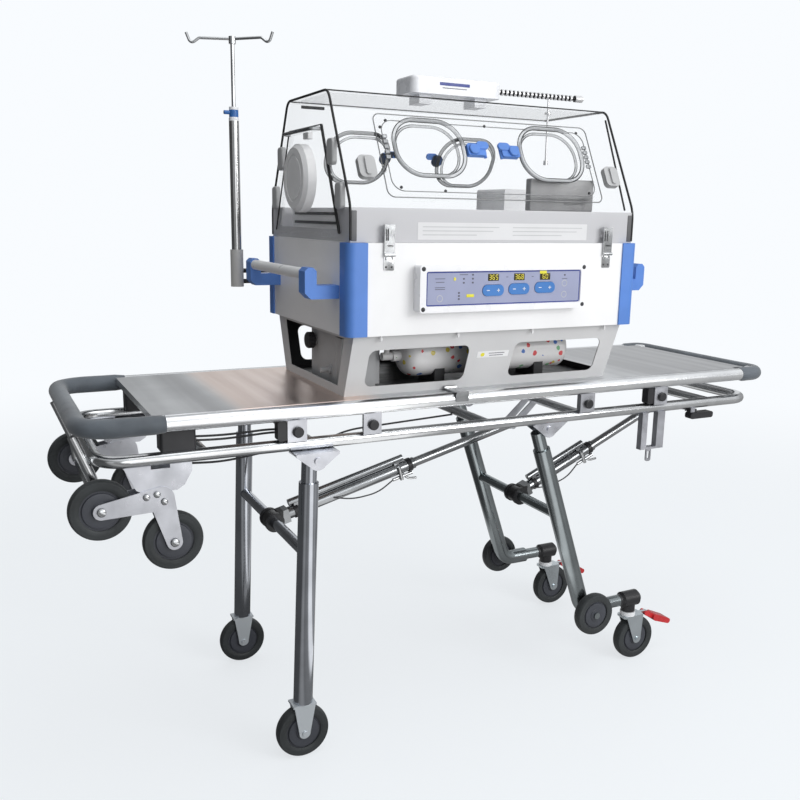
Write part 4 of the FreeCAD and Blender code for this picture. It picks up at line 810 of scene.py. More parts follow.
class Piece:
    """Collects surfaces of one finish and makes one object of them."""

    def __init__(self, name: str, look: str, body: str) -> None:
        """Start an empty piece.

        Args:
            name: The object's name.
            look: The name of its finish.
            body: The body that carries it.
        """
        self.name = name
        self.look = look
        self.body = body
        self.points: list[Points] = []
        self.faces: list[list[int]] = []
        self.count = 0

    def add(self, rings: Points, looped: bool = False) -> "Piece":
        """Add a surface of rings, closed at both ends, or joined end to end.

        Args:
            rings: Points by ring and by place on the ring.
            looped: Whether the last ring joins the first.

        Returns:
            This piece.
        """
        lines, places = rings.shape[:2]
        i = np.arange(lines if looped else lines - 1)[:, None]
        j = np.arange(places)[None, :]
        after = (i + 1) % lines
        beside = (j + 1) % places
        quads = np.stack([i * places + j, i * places + beside, after * places + beside, after * places + j],
                         axis=-1).reshape(-1, 4)
        flat = rings.reshape(-1, 3)
        caps = [] if looped else [np.arange(places)[::-1], np.arange(places) + (lines - 1) * places]
        shifted = flat - flat.mean(axis=0)
        a, b, c, d = (shifted[quads[:, k]] for k in range(4))
        volume = np.einsum("ij,ij->", a, np.cross(b, c)) + np.einsum("ij,ij->", a, np.cross(c, d))
        for cap in caps:
            ring = shifted[cap]
            volume += np.einsum("j,ij->", ring[0], np.cross(ring[1:-1], ring[2:]))
        if volume < 0:
            quads = quads[:, ::-1]
            caps = [cap[::-1] for cap in caps]
        self.faces += (quads + self.count).tolist() + [(cap + self.count).tolist() for cap in caps]
        self.points.append(flat)
        self.count += len(flat)
        return self

    def make(self, replaces: tuple[str, ...] = (), crease: float = 35.0) -> bpy.types.Object:
        """Make the object, and let it ride on its body.

        Args:
            replaces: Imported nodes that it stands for.
            crease: Edges sharper than this, in degrees, stay sharp.

        Returns:
            The object.
        """
        mesh = bpy.data.meshes.new(self.name)
        mesh.from_pydata(np.concatenate(self.points).tolist(), [], self.faces)
        clean = bmesh.new()
        clean.from_mesh(mesh)
        bmesh.ops.remove_doubles(clean, verts=clean.verts, dist=1e-7)
        clean.to_mesh(mesh)
        clean.free()
        mesh.polygons.foreach_set("use_smooth", np.ones(len(mesh.polygons), bool))
        mesh.set_sharp_from_angle(angle=math.radians(crease))
        mesh.materials.append(finish(self.look))
        made = bpy.data.objects.new(self.name, mesh)
        bpy.context.scene.collection.objects.link(made)
        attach(made, self.body)
        if replaces:
            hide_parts(*replaces)
        LOG.info("%s rides on %s, %d faces", self.name, self.body, len(mesh.polygons))
        return made


def screw(centre: Triple, along: Along, radius: float, height: float, way: float) -> Points:
    """A domed head: the height follows a sine and the radius a cosine, up to a small flat.

    Args:
        centre: The middle of its foot.
        along: Its axis.
        radius: Its radius at the foot.
        height: What its height would be without the flat.
        way: One to stand along the axis, minus one to stand against it.

    Returns:
        Rings of points.
    """
    arc = 1.35
    turn = np.linspace(0.0, arc, 6)
    profile = [(0.0, radius)] + [(way * height * s, radius * c) for s, c in zip(np.sin(turn), np.cos(turn))]
    return turned(profile, centre, along, 20)


@dataclass
class Studio:
    """Camera, pale floor and soft lights."""

    azimuth: float = -0.460603565
    elevation: float = 0.206760105
    roll: float = 0.0164314906
    distance: float = 2.36107399
    target: Triple = (-0.103141491, 0.0, 0.797400828)
    focal_px: float = 879.44914
    image_px: float = 800.0
    sensor_mm: float = 36.0
    paper: Colour = (0.945, 0.972, 1.0)
    near_paper: Colour = (0.82, 0.87, 0.90)
    felt: Colour = (0.16, 0.17, 0.18)
    felt_share: float = 0.72
    walls: Colour = (0.96, 0.98, 1.0)
    floor_rings: tuple[float, ...] = (0.001, 1.5, 5, 40)
    floor_fade: tuple[float, float] = (1.4, 5.0)
    floor_glow: float = 0.70
    ambient: float = 0.08
    aim: Triple = (0.0, 0.0, 0.9)
    lamps: tuple[tuple[str, Triple, float, float], ...] = (
        ("key", (1.9, -3.6, 2.4), 2.0, 72.0), ("top", (0.2, -0.6, 4.2), 2.6, 24.0))
    lobes: tuple[tuple[Triple, float, float, float], ...] = (
        ((0.06, -0.985, 0.16), 0.90, 0.97, 1.35), ((0.10, -0.95, 0.30), 0.30, 0.90, 0.26),
        ((0.97, -0.15, 0.20), 0.50, 0.95, 0.34), ((0.0, 0.0, 1.0), 0.35, 0.85, 0.62),
        ((-0.80, -0.58, 0.15), 0.955, 0.99, 0.30), ((0.50, 0.85, 0.15), 0.86, 0.97, 0.75))

    def camera(self) -> None:
        """Stand the camera where the photograph was taken from."""
        sin_a, cos_a = math.sin(self.azimuth), math.cos(self.azimuth)
        sin_e, cos_e = math.sin(self.elevation), math.cos(self.elevation)
        back = Vector((sin_a * cos_e, -cos_a * cos_e, sin_e))
        right = Vector((cos_a, sin_a, 0.0))
        up = back.cross(right)
        turned_right = right * math.cos(self.roll) + up * math.sin(self.roll)
        turned_up = up * math.cos(self.roll) - right * math.sin(self.roll)
        place = Matrix((turned_right, turned_up, back)).transposed().to_4x4()
        place.translation = Vector(self.target) + back * self.distance
        lens = bpy.data.cameras.new("photo_camera")
        lens.sensor_width = self.sensor_mm
        lens.sensor_fit = "HORIZONTAL"
        lens.lens = self.focal_px / self.image_px * self.sensor_mm
        holder = bpy.data.objects.new("photo_camera", lens)
        holder.matrix_world = place
        bpy.context.scene.collection.objects.link(holder)
        bpy.context.scene.camera = holder

    def glow(self, tree: bpy.types.NodeTree, way: bpy.types.NodeSocket) -> bpy.types.NodeSocket:
        """Brightness of the studio in a direction: a dim room with a few soft windows.

        Args:
            tree: The node tree to add to.
            way: The direction, as a unit vector.

        Returns:
            The strength there.
        """
        strength: bpy.types.NodeSocket | None = None
        for lobe, low, high, gain in self.lobes:
            dot = tree.nodes.new("ShaderNodeVectorMath")
            dot.operation = "DOT_PRODUCT"
            dot.inputs[1].default_value = lobe
            tree.links.new(way, dot.inputs[0])
            ramp = tree.nodes.new("ShaderNodeMapRange")
            ramp.interpolation_type = "SMOOTHSTEP"
            for key, value in (("From Min", low), ("From Max", high), ("To Min", 0.0), ("To Max", gain)):
                ramp.inputs[key].default_value = value
            tree.links.new(dot.outputs["Value"], ramp.inputs["Value"])
            total = tree.nodes.new("ShaderNodeMath")
            total.inputs[1].default_value = self.ambient
            tree.links.new(ramp.outputs[0], total.inputs[0])
            if strength is not None:
                tree.links.new(strength, total.inputs[1])
            strength = total.outputs[0]
        return strength

    def floor(self) -> None:
        """A wide disc: pale paper to the camera, and the studio's own glow to everything else."""
        mesh = bpy.data.meshes.new("floor")
        turn = np.linspace(0.0, 2 * math.pi, 96, endpoint=False)
        rings = np.array([np.stack([r * np.cos(turn), r * np.sin(turn), 0 * turn], 1)
                          for r in self.floor_rings])
        count = len(turn)
        i, j = np.arange(len(rings) - 1)[:, None], np.arange(count)[None, :]
        beside = (j + 1) % count
        quads = np.stack([i * count + j, (i + 1) * count + j, (i + 1) * count + beside, i * count + beside],
                         axis=-1)
        mesh.from_pydata(rings.reshape(-1, 3).tolist(), [], quads.reshape(-1, 4).tolist())
        recipe = Recipe("pale_floor")
        reach = recipe.node("ShaderNodeVectorMath", Vector=recipe.coords)
        reach.operation = "LENGTH"
        share = recipe.span(reach.outputs["Value"], *self.floor_fade, self.floor_glow, 1.0)
        near = recipe.node("ShaderNodeBsdfPrincipled", Roughness=0.55)
        near.inputs["Base Color"].default_value = (*self.near_paper, 1.0)
        far = recipe.node("ShaderNodeEmission", Strength=1.0)
        far.inputs["Color"].default_value = (*self.paper, 1.0)
        shown = recipe.node("ShaderNodeMixShader", Fac=share)
        recipe.feed(shown.inputs[1], near.outputs[0])
        recipe.feed(shown.inputs[2], far.outputs[0])
        way = recipe.node("ShaderNodeVectorMath", Vector=recipe.coords)
        way.operation = "NORMALIZE"
        glow = recipe.node("ShaderNodeEmission", Strength=self.glow(recipe.tree, way.outputs[0]))
        matt = recipe.node("ShaderNodeBsdfDiffuse")
        matt.inputs["Color"].default_value = (*self.felt, 1.0)
        felt = recipe.node("ShaderNodeMixShader", Fac=self.felt_share)
        recipe.feed(felt.inputs[1], matt.outputs[0])
        recipe.feed(felt.inputs[2], glow.outputs[0])
        ray = recipe.node("ShaderNodeLightPath")
        blend = recipe.node("ShaderNodeMixShader", Fac=ray.outputs["Is Camera Ray"])
        recipe.feed(blend.inputs[1], felt.outputs[0])
        recipe.feed(blend.inputs[2], shown.outputs[0])
        recipe.node("ShaderNodeOutputMaterial", Surface=blend.outputs[0])
        mesh.materials.append(recipe.material)
        disc = bpy.data.objects.new("floor", mesh)
        bpy.context.scene.collection.objects.link(disc)

    def world(self) -> None:
        """Even pale paper behind the object, and a studio with one darker side for its reflections."""
        world = bpy.data.worlds.new("studio")
        bpy.context.scene.world = world
        world.use_nodes = True
        tree = world.node_tree
        tree.nodes.clear()
        coords = tree.nodes.new("ShaderNodeTexCoord")
        strength = self.glow(tree, coords.outputs["Generated"])
        studio = tree.nodes.new("ShaderNodeBackground")
        studio.inputs["Color"].default_value = (*self.walls, 1.0)
        tree.links.new(strength, studio.inputs["Strength"])
        paper = tree.nodes.new("ShaderNodeBackground")
        paper.inputs["Color"].default_value = (*self.paper, 1.0)
        ray = tree.nodes.new("ShaderNodeLightPath")
        blend = tree.nodes.new("ShaderNodeMixShader")
        tree.links.new(ray.outputs["Is Camera Ray"], blend.inputs[0])
        tree.links.new(studio.outputs[0], blend.inputs[1])
        tree.links.new(paper.outputs[0], blend.inputs[2])
        out = tree.nodes.new("ShaderNodeOutputWorld")
        tree.links.new(blend.outputs[0], out.inputs[0])

    def light(self, name: str, place: Triple, size: float, power: float) -> None:
        """One square soft light aimed at the object's middle.

        Args:
            name: Its name.
            place: Where it hangs.
            size: Its side.
            power: Its watts.
        """
        lamp = bpy.data.lights.new(name, "AREA")
        lamp.size = size
        lamp.energy = power
        holder = bpy.data.objects.new(name, lamp)
        aim = Vector(self.aim) - Vector(place)
        holder.rotation_euler = aim.to_track_quat("-Z", "Y").to_euler()
        holder.location = place
        bpy.context.scene.collection.objects.link(holder)

    def build(self) -> None:
        """Set up the whole studio."""
        self.camera()
        self.floor()
        self.world()
        for name, place, size, power in self.lamps:
            self.light(name, place, size, power)
        bpy.context.scene.view_settings.view_transform = "Standard"
        LOG.info("studio ready")


@dataclass
class Wheel:
    """A rubber tyre on a moulded hub, about an axle along Y.

    Both sections are rows of shares: of half the width, and of the radius.
    """

    node: str
    arc: float = 1.15
    crown_half: float = 0.93
    crown_drop: float = 0.0035
    bore: float = 0.0061
    hub_half: float = 0.99
    tyre_wall: tuple[tuple[float, float], ...] = ((0.97, 0.90), (0.93, 0.86), (0.95, 0.84), (0.90, 0.70),
                                                  (0.80, 0.665))
    hub_side: tuple[tuple[float, float], ...] = ((0.55, 0.664), (0.55, 0.60), (0.82, 0.575), (0.86, 0.54),
                                                 (0.80, 0.36), (0.80, 0.30), (0.97, 0.27))

    def build(self) -> None:
        """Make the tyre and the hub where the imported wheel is; the crown falls as a cosine."""
        low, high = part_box(self.node)
        centre = tuple((a + b) / 2 for a, b in zip(low, high))
        r = (high[2] - low[2]) / 2
        h = (high[1] - low[1]) / 2
        crown = [(h * self.crown_half * math.sin(a) / math.sin(self.arc),
                  r - self.crown_drop * (1 - math.cos(a)) / (1 - math.cos(self.arc)))
                 for a in np.linspace(-self.arc, self.arc, 13)]
        wall = [(h * a, r * b) for a, b in self.tyre_wall]
        other = [(-a, b) for a, b in wall[::-1]]
        Piece("tyre_" + self.node, "tyre_rubber", self.node).add(
            turned(other + crown + wall, centre, Along.Y, 72), True).make((self.node,))
        side = [(h * a, r * b) for a, b in self.hub_side] + [(h * self.hub_half, self.bore)]
        rest = [(-a, b) for a, b in side[::-1]]
        Piece("hub_" + self.node, "hub_plastic", self.node).add(
            turned(rest + side, centre, Along.Y, 48), True).make()


@dataclass
class FoamGrips:
    """Foam sleeves round both ends of the litter frame."""

    rail_y: float = 0.255
    rail_z: float = 0.848
    rail_x: float = 0.944
    bend: float = 0.062
    bend_reach: float = 1.15
    left_x: float = -0.775
    right_x: float = 0.865
    bore: float = 0.0173
    edge: float = 0.003
    ripple: float = 0.0005
    ripple_rates: tuple[float, float] = (46.0, 17.0)

    def sleeve(self, x_end: float, x_bar: float, radius: float) -> Points:
        """Rings out of the bore, over a rounded lip, along the bent rail and back inside.

        Args:
            x_end: Where both arms of the sleeve end.
            x_bar: Where its cross bar lies.
            radius: Its radius.

        Returns:
            Rings of points; the last one joins the first.
        """
        low, high = self.rail_y, self.rail_z
        corners = [(x_end, -low, high), (x_bar, -low, high), (x_bar, low, high), (x_end, low, high)]
        path = bent_path(corners, self.bend * self.bend_reach, 14)
        step = np.linspace(0, len(path) - 1, 4 * len(path))
        dense = np.stack([np.interp(step, np.arange(len(path)), path[:, k]) for k in range(3)], axis=1)
        length = np.concatenate([[0.0], np.cumsum(np.linalg.norm(np.diff(dense, axis=0), axis=1))])
        near = np.minimum(length, length[-1] - length)
        lip = np.clip(near / self.edge, 0.0, 1.0)
        swell = radius - self.edge + self.edge * np.sqrt(1.0 - (1.0 - lip) ** 2)
        slow, slower = self.ripple_rates
        swell = swell - self.ripple * (1 + np.sin(length * slow) * np.sin(length * slower))
        outer = round_bar(dense, swell, (0, 0, 1), 36)
        inner = round_bar(dense, self.bore, (0, 0, 1), 36)
        return np.concatenate([outer, inner[::-1]])

    def build(self) -> None:
        """Both sleeves as one soft piece."""
        low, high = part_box("foam_grips")
        radius = (high[2] - low[2]) / 2
        sleeves = Piece("grip_sleeves", "grip_foam", "stretcher")
        sleeves.add(self.sleeve(self.left_x, -self.rail_x, radius), True)
        sleeves.add(self.sleeve(self.right_x, self.rail_x, radius), True)
        sleeves.make(("foam_grips",), 60.0)


@dataclass
class BraceGear:
    """Trim on one brace tube: two rings, two pivot collars, a spring barrel, a lever, a pin and a cable.

    Their points are given back from the tube's end, over the tube and across it.
    """

    side: str
    start: tuple[float, float]
    end: tuple[float, float]
    length: float
    ring_at: float = 0.060
    ring_back: float = 0.022
    ring_wide: float = 0.012
    ring_radii: tuple[float, float] = (0.0186, 0.0152)
    collar_y: float = 0.021
    collar_half: float = 0.005
    collar_radius: float = 0.0255
    barrel: tuple[Triple, ...] = ((0.075, -0.020, -0.012), (0.015, -0.020, -0.012))
    lever: tuple[Triple, ...] = ((0.040, -0.016, 0.0), (0.030, -0.034, -0.008), (0.006, -0.040, -0.010))
    pin: tuple[Triple, ...] = ((0.052, 0.012, -0.019), (0.052, -0.026, -0.019))
    cable: tuple[Triple, ...] = ((0.075, -0.020, -0.012), (0.130, -0.032, -0.024), (0.200, -0.024, -0.020),
                                 (0.250, 0.0, -0.018))

    def spot(self, along: float, up: float, y: float) -> Triple:
        """A point of the brace.

        Args:
            along: From its pivot towards its anchor.
            up: Over its axis.
            y: Across it.

        Returns:
            The point.
        """
        a, b = np.array(self.start), np.array(self.end)
        way = (b - a) / np.linalg.norm(b - a)
        lift = np.array((-way[1], way[0]))
        x, z = a + way * along + lift * up
        return (float(x), y, float(z))

    def bar(self, places: tuple[Triple, ...], radius: float, sides: int, bend: float = 0.0) -> Points:
        """A round bar near the tube's end.

        Args:
            places: Its points.
            radius: Its radius.
            sides: Points on each ring.
            bend: How rounded its corners are.

        Returns:
            Rings of points.
        """
        corners = [self.spot(self.length - back, up, y) for back, up, y in places]
        path = bent_path(corners, bend) if bend else np.array(corners)
        return round_bar(path, radius, (0, 1, 0), sides)

    def build(self) -> None:
        """Make the bright and the black trim of this brace."""
        body = self.side + "_brace_tube"
        steel = Piece("brace_levers_" + self.side, "bright_steel", body)
        black = Piece("brace_rings_" + self.side, "black_plastic", body)
        for along in (self.ring_at, self.length - self.ring_back):
            path = np.array([self.spot(along, 0, 0), self.spot(along + self.ring_wide, 0, 0)])
            outer, inner = (round_bar(path, radius, (0, 1, 0), 24) for radius in self.ring_radii)
            black.add(np.stack([outer[0], outer[1], inner[1], inner[0]]), True)
        for y in (-self.collar_y, self.collar_y):
            ends = [self.spot(0.0, 0, y - self.collar_half), self.spot(0.0, 0, y + self.collar_half)]
            black.add(round_bar(np.array(ends), self.collar_radius, (1, 0, 0), 28))
        steel.add(self.bar(self.barrel, 0.0045, 12))
        steel.add(self.bar(self.lever, 0.0034, 10, 0.01))
        steel.add(self.bar(self.pin, 0.0050, 12))
        black.add(self.bar(self.cable, 0.0020, 8, 0.04))
        steel.make()
        black.make()


@dataclass
class Stretcher:
    """Litter, deck, plates, legs, braces and wheels."""

    cable_radius: float = 0.0026
    cable_bend: float = 0.06
    cable_routes: tuple[tuple[Triple, ...], ...] = (
        ((-0.720, -0.212, 0.806), (-0.640, -0.205, 0.800), (-0.540, -0.215, 0.806), (-0.508, -0.226, 0.806)),
        ((-0.720, -0.206, 0.796), (-0.640, -0.198, 0.789), (-0.540, -0.210, 0.797), (-0.508, -0.222, 0.799)),
        ((-0.722, -0.196, 0.742), (-0.640, -0.190, 0.735), (-0.520, -0.180, 0.746), (-0.447, -0.172, 0.757)),
        ((-0.447, -0.160, 0.757), (-0.380, -0.110, 0.728), (-0.290, -0.060, 0.745), (0.030, -0.050, 0.757)))
    bolt_rows: tuple[tuple[float, float, float, float], ...] = (
        (-0.818, 0.2453, 0.690, 0.0075), (-0.796, 0.2453, 0.694, 0.0075), (-0.781, 0.2453, 0.676, 0.0075),
        (-0.910, 0.2463, 0.669, 0.0095), (-0.762, 0.2463, 0.581, 0.0095))
    bolt_height: float = 0.0040

    def dress(self) -> None:
        """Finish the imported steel."""
        dress("rail_steel", "litter_frame")
        dress("lower_steel", "undercarriage_frame")
        dress("deck_sheet", "deck_plate")
        dress("zinc_plate", "frame_brackets")
        dress("black_plastic", "bracket_knobs", "release_cable", "release_grip")
        dress("leg_chrome", "left_legs")
        dress("socket_chrome", "right_legs")
        dress("brace_steel", "left_brace_tube", "right_brace_tube")
        dress("rod_steel", "left_brace_rod", "right_brace_rod")
        dress("bright_steel", "deck_latch")
        dress("fork_zinc", "caster_fork_front", "caster_fork_rear")
        dress("pedal_red", "brake_pedal_front", "brake_pedal_rear")

    def wheels(self) -> None:
        """All ten wheels."""
        for place in ("front", "rear"):
            for kind in ("left_wheel", "caster_wheel", "guide_wheel", "loading_wheel_outer",
                         "loading_wheel_inner"):
                Wheel(kind + "_" + place).build()

    def cables(self) -> None:
        """Thin black control cables under the litter, on the frame they are clipped to."""
        cable = Piece("control_cables", "black_plastic", "stretcher")
        for corners in self.cable_routes:
            cable.add(round_bar(bent_path(corners, self.cable_bend), self.cable_radius, (0, 0, 1), 8))
        cable.make()

    def carrier_bolts(self) -> None:
        """Bright domed bolts on the loading wheels' arms, on both sides."""
        bolts = Piece("carrier_bolts", "bright_steel", "stretcher")
        for side in (-1, 1):
            for x, y, z, radius in self.bolt_rows:
                bolts.add(screw((x, side * y, z), Along.Y, radius, self.bolt_height, side * 1.0))
        bolts.make()

    def build(self) -> None:
        """Everything below the incubator."""
        self.dress()
        self.wheels()
        self.cables()
        BraceGear("left", (-0.465, 0.511), (0.250, 0.700), 0.420).build()
        BraceGear("right", (0.284, 0.484), (0.775, 0.705), 0.294).build()
        self.carrier_bolts()
        FoamGrips().build()


@dataclass
class Base:
    """Sheet base, gas box and bottle."""

    label_x: tuple[float, float] = (-0.012, 0.079)
    label_z: float = 0.950
    label_tall: float = 0.017
    label_lines: tuple[tuple[float, float], ...] = ((0.003, 0.046), (-0.003, 0.040))
    lines_right: float = 0.010
    mark_left: float = 0.030
    studs_x: tuple[float, ...] = (-0.287, -0.085, 0.127, 0.351)
    stud_y: float = -0.268
    stud_z: float = 1.0005
    stud_profile: tuple[tuple[float, float], ...] = (
        (0.0, 0.0022), (0.002, 0.0034), (0.0075, 0.0036), (0.0085, 0.0028), (0.0135, 0.0028))
    bottle_axis: Triple = (0.0, -0.112, 0.938)
    bottle_radius: float = 0.0539
    neck_radius: float = 0.0150
    shoulder_x: float = -0.121
    shoulder_reach: float = 0.042
    shoulder_arc: float = 1.48

    def labels(self) -> None:
        """A plain strip with a mark and two lines between the windows, on the leaning front."""
        low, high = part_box("base_frame")
        rise, out = high[2] - low[2], BASE_TOP_Y - BASE_FOOT_Y
        y = -(BASE_FOOT_Y + (self.label_z - low[2]) / rise * out) - 0.0001
        lean = math.atan2(out, rise)
        face = Plane((0.0, y, self.label_z), (1, 0, 0), (0, -math.sin(lean), math.cos(lean)),
                     (0, -math.cos(lean), -math.sin(lean)))
        middle = 0.5 * (self.label_x[0] + self.label_x[1])
        width = self.label_x[1] - self.label_x[0]
        strip = Piece("base_label", "bright_white", "stretcher")
        outline = rounded(width, self.label_tall, 0.002, (middle, 0.0))
        strip.add(plate(face, outline, 0.0, 0.0006, 0.0002)).make()
        lines = Piece("base_label_lines", "print_grey", "stretcher")
        for v, length in self.label_lines:
            outline = rounded(length, 0.0018, 0.0006, (middle + self.lines_right, v))
            lines.add(plate(face, outline, *PRINT))
        lines.make()
        mark = Piece("base_label_mark", "amber_mark", "stretcher")
        outline = rounded(0.011, 0.010, 0.0045, (middle - self.mark_left, 0.0))
        mark.add(plate(face, outline, *PRINT)).make()

    def studs(self) -> None:
        """White studs that hang from the body's lower edge."""
        studs = Piece("base_studs", "bright_white", "stretcher")
        for x in self.studs_x:
            studs.add(turned(self.stud_profile, (x, self.stud_y, self.stud_z), Along.Z, 16))
        studs.make()

    def shoulder(self) -> None:
        """The bottle's domed left end: the radius falls as the root of a cosine towards the neck."""
        turn = np.linspace(0.0, self.shoulder_arc, 14)
        along = self.shoulder_x - self.shoulder_reach * np.sin(turn)
        radius = np.maximum(self.bottle_radius * np.sqrt(np.cos(turn)), self.neck_radius)
        dome = Piece("bottle_shoulder", "bottle_wrap", "stretcher")
        dome.add(turned(list(zip(along, radius)), self.bottle_axis, Along.X)).make()

    def build(self) -> None:
        """Everything between the litter and the body."""
        dress("base_paint", "base_frame")
        dress("box_grey", "gas_box")
        dress("black_plastic", "gas_knob")
        dress("bottle_wrap", "oxygen_cylinder")
        self.labels()
        self.studs()
        self.shoulder()


# The bars of each figure: a, g and d lie flat, from the top down, and the others stand.
SEGMENTS = {"0": "abcdef", "3": "abcdg", "5": "acdfg", "6": "acdefg", "8": "abcdefg"}


@dataclass
class Panel:
    """The control panel's printed face, displays, lamps and keys."""

    centre: tuple[float, float] = (0.019, 1.120)
    width: float = 0.428
    height: float = 0.078
    line: float = 0.003
    face_y: float = -0.309
    sheet_depth: float = 0.0006
    key_top: float = 1.1325
    key_half: float = 0.0300
    key_gap: float = 0.0012
    keys: tuple[str, ...] = ("left", "middle", "right")
    display_x: tuple[float, ...] = (-0.018, 0.054, 0.128)
    display_z: float = 1.1445
    display_size: tuple[float, float] = (0.030, 0.0165)
    readings: tuple[str, ...] = ("365", "368", "60")
    digit_tall: float = 0.0105
    digit_pitch: float = 0.0088
    digit_wide: float = 0.5
    digit_depth: tuple[float, float] = (0.0012, 0.0015)
    bar_thick: float = 0.13
    bar_corner: float = 0.4
    flat_bar: float = 0.8
    standing_bar: float = 0.40
    mark_size: Triple = (0.0050, 0.0040, 0.0015)
    marks: tuple[tuple[float, float], ...] = (
        (-0.122, 1.1420), (-0.098, 1.1420), (-0.098, 1.1330), (-0.074, 1.1420), (-0.074, 1.1510),
        (-0.074, 1.1330), (-0.110, 1.1100), (-0.110, 1.1030), (-0.110, 1.0960), (0.186, 1.1470))
    bars: tuple[Triple, ...] = (
        (-0.160, 1.1430, 0.026), (-0.160, 1.1350, 0.022), (-0.160, 1.1230, 0.026), (-0.160, 1.1190, 0.026),
        (-0.098, 1.1515, 0.022), (0.020, 1.1445, 0.006), (0.092, 1.1445, 0.006), (0.186, 1.1380, 0.016))
    lamps: tuple[Triple, ...] = ((-0.122, 1.1420, 0.0055), (-0.080, 1.1030, 0.020), (0.122, 1.1545, 0.020))
    rings: tuple[tuple[float, float], ...] = ((-0.160, 1.0980), (0.186, 1.1270), (0.186, 1.1000))
    ring_outer: Triple = (0.016, 0.016, 0.0079)
    ring_inner: Triple = (0.013, 0.013, 0.0064)
    sign_z: tuple[float, ...] = (1.114, 1.116, 1.118)
    sign_u: float = 0.014
    sign_bars: tuple[Triple, ...] = ((0.0080, 0.0016, 0.0006), (0.0016, 0.0080, 0.0006))
    screw_inset: float = 0.0085

    def digit(self, piece: Piece, face: Plane, u: float, v: float, sign: str) -> None:
        """One figure from up to seven bars.

        Args:
            piece: The piece to add it to.
            face: The plane it stands on.
            u: Its middle, to the right.
            v: Its middle, upward.
            sign: The figure.
        """
        tall = self.digit_tall
        wide, thick = tall * self.digit_wide, tall * self.bar_thick
        corner = thick * self.bar_corner
        flat = {"a": tall / 2, "g": 0.0, "d": -tall / 2}
        upright = {"b": (wide / 2, tall / 4), "c": (wide / 2, -tall / 4), "e": (-wide / 2, -tall / 4),
                   "f": (-wide / 2, tall / 4)}
        for bar in SEGMENTS[sign]:
            if bar in flat:
                shape = rounded(wide * self.flat_bar, thick, corner, (u, v + flat[bar]), 3)
            else:
                du, dv = upright[bar]
                shape = rounded(thick, tall * self.standing_bar, corner, (u + du, v + dv), 3)
            piece.add(plate(face, shape, *self.digit_depth))

    def sheet(self, face: Plane) -> None:
        """The printed sheet and the line round it: a top strip, fields between the keys, and key holes.

        Args:
            face: The plane it lies on.
        """
        x, z = self.centre
        inset = 2 * self.line
        inner = rounded(self.width - inset, self.height - inset, 0.003, self.centre)
        rim = border(face, rounded(self.width, self.height, 0.005, self.centre), inner, 0.0, 0.0008)
        Piece("panel_line", "navy_line", "stretcher").add(rim, True).make()
        sheet = Piece("panel_sheet", "panel_face", "stretcher")
        v0, v1 = z - self.height / 2 + self.line, z + self.height / 2 - self.line
        middle, tall = 0.5 * (v0 + self.key_top), self.key_top - v0
        top = rounded(self.width - inset, v1 - self.key_top, 0.001, (x, (v1 + self.key_top) / 2))
        sheet.add(plate(face, top, 0.0, self.sheet_depth))
        edges = [x - self.width / 2 + self.line]
        for key in self.display_x:
            edges += [key - self.key_half, key + self.key_half]
        edges.append(x + self.width / 2 - self.line)
        for start, end in zip(edges[::2], edges[1::2]):
            field = rounded(end - start, tall, 0.0008, ((start + end) / 2, middle))
            sheet.add(plate(face, field, 0.0, self.sheet_depth))
        for name, key in zip(self.keys, self.display_x):
            low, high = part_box("key_pad_" + name)
            hole = rounded(high[0] - low[0] + self.key_gap, high[2] - low[2] + self.key_gap,
                           0.49 * (high[2] - low[2]), ((low[0] + high[0]) / 2, (low[2] + high[2]) / 2))
            field = rounded(2 * self.key_half, tall, 0.0008, (key, middle))
            sheet.add(border(face, field, hole, -0.0004, self.sheet_depth, 0.0001), True)
        sheet.make()

    def displays(self, face: Plane) -> None:
        """Dark windows with yellow figures.

        Args:
            face: The plane they stand on.
        """
        windows = Piece("panel_displays", "display_window", "stretcher")
        figures = Piece("panel_figures", "display_digit", "stretcher")
        for x, text in zip(self.display_x, self.readings):
            shape = rounded(*self.display_size, 0.0012, (x, self.display_z))
            windows.add(plate(face, shape, 0.0004, 0.0012, 0.0003))
            for place, sign in enumerate(text):
                u = x + (place - (len(text) - 1) / 2) * self.digit_pitch
                self.digit(figures, face, u, self.display_z, sign)
        figures.make()
        windows.make()

    def prints(self, face: Plane) -> None:
        """Grey marks and bars in place of words, amber lamps, and rings round the buttons.

        Args:
            face: The plane they stand on.
        """
        marks = Piece("panel_marks", "print_grey", "stretcher")
        for place in self.marks:
            marks.add(plate(face, rounded(*self.mark_size, place), 0.0004, 0.0009))
        for x, z, length in self.bars:
            marks.add(plate(face, rounded(length, 0.0014, 0.0005, (x, z)), *PRINT))
        marks.make()
        lamps = Piece("panel_lamps", "amber_mark", "stretcher")
        for x, z, length in self.lamps:
            lamps.add(plate(face, rounded(length, 0.0070, 0.0012, (x, z)), 0.0009, 0.0014, 0.0003))
        lamps.make()
        rings = Piece("panel_rings", "box_grey", "stretcher")
        for place in self.rings:
            outer, inner = rounded(*self.ring_outer, place), rounded(*self.ring_inner, place)
            rings.add(border(face, outer, inner, 0.0004, 0.0010, 0.0002), True)
        rings.make()

    def signs(self) -> None:
        """A minus and a plus on every key; they ride on it."""
        for name, x, z in zip(self.keys, self.display_x, self.sign_z):
            low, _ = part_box("key_pad_" + name)
            signs = Piece("key_signs_" + name, "bright_white", "key_pad_" + name)
            top = front_plane(low[1])
            minus = rounded(*self.sign_bars[0], (x - self.sign_u, z))
            plus = [rounded(*bar, (x + self.sign_u, z)) for bar in self.sign_bars]
            for outline in (minus, *plus):
                signs.add(plate(top, outline, -0.0002, 0.0003))
            signs.make()

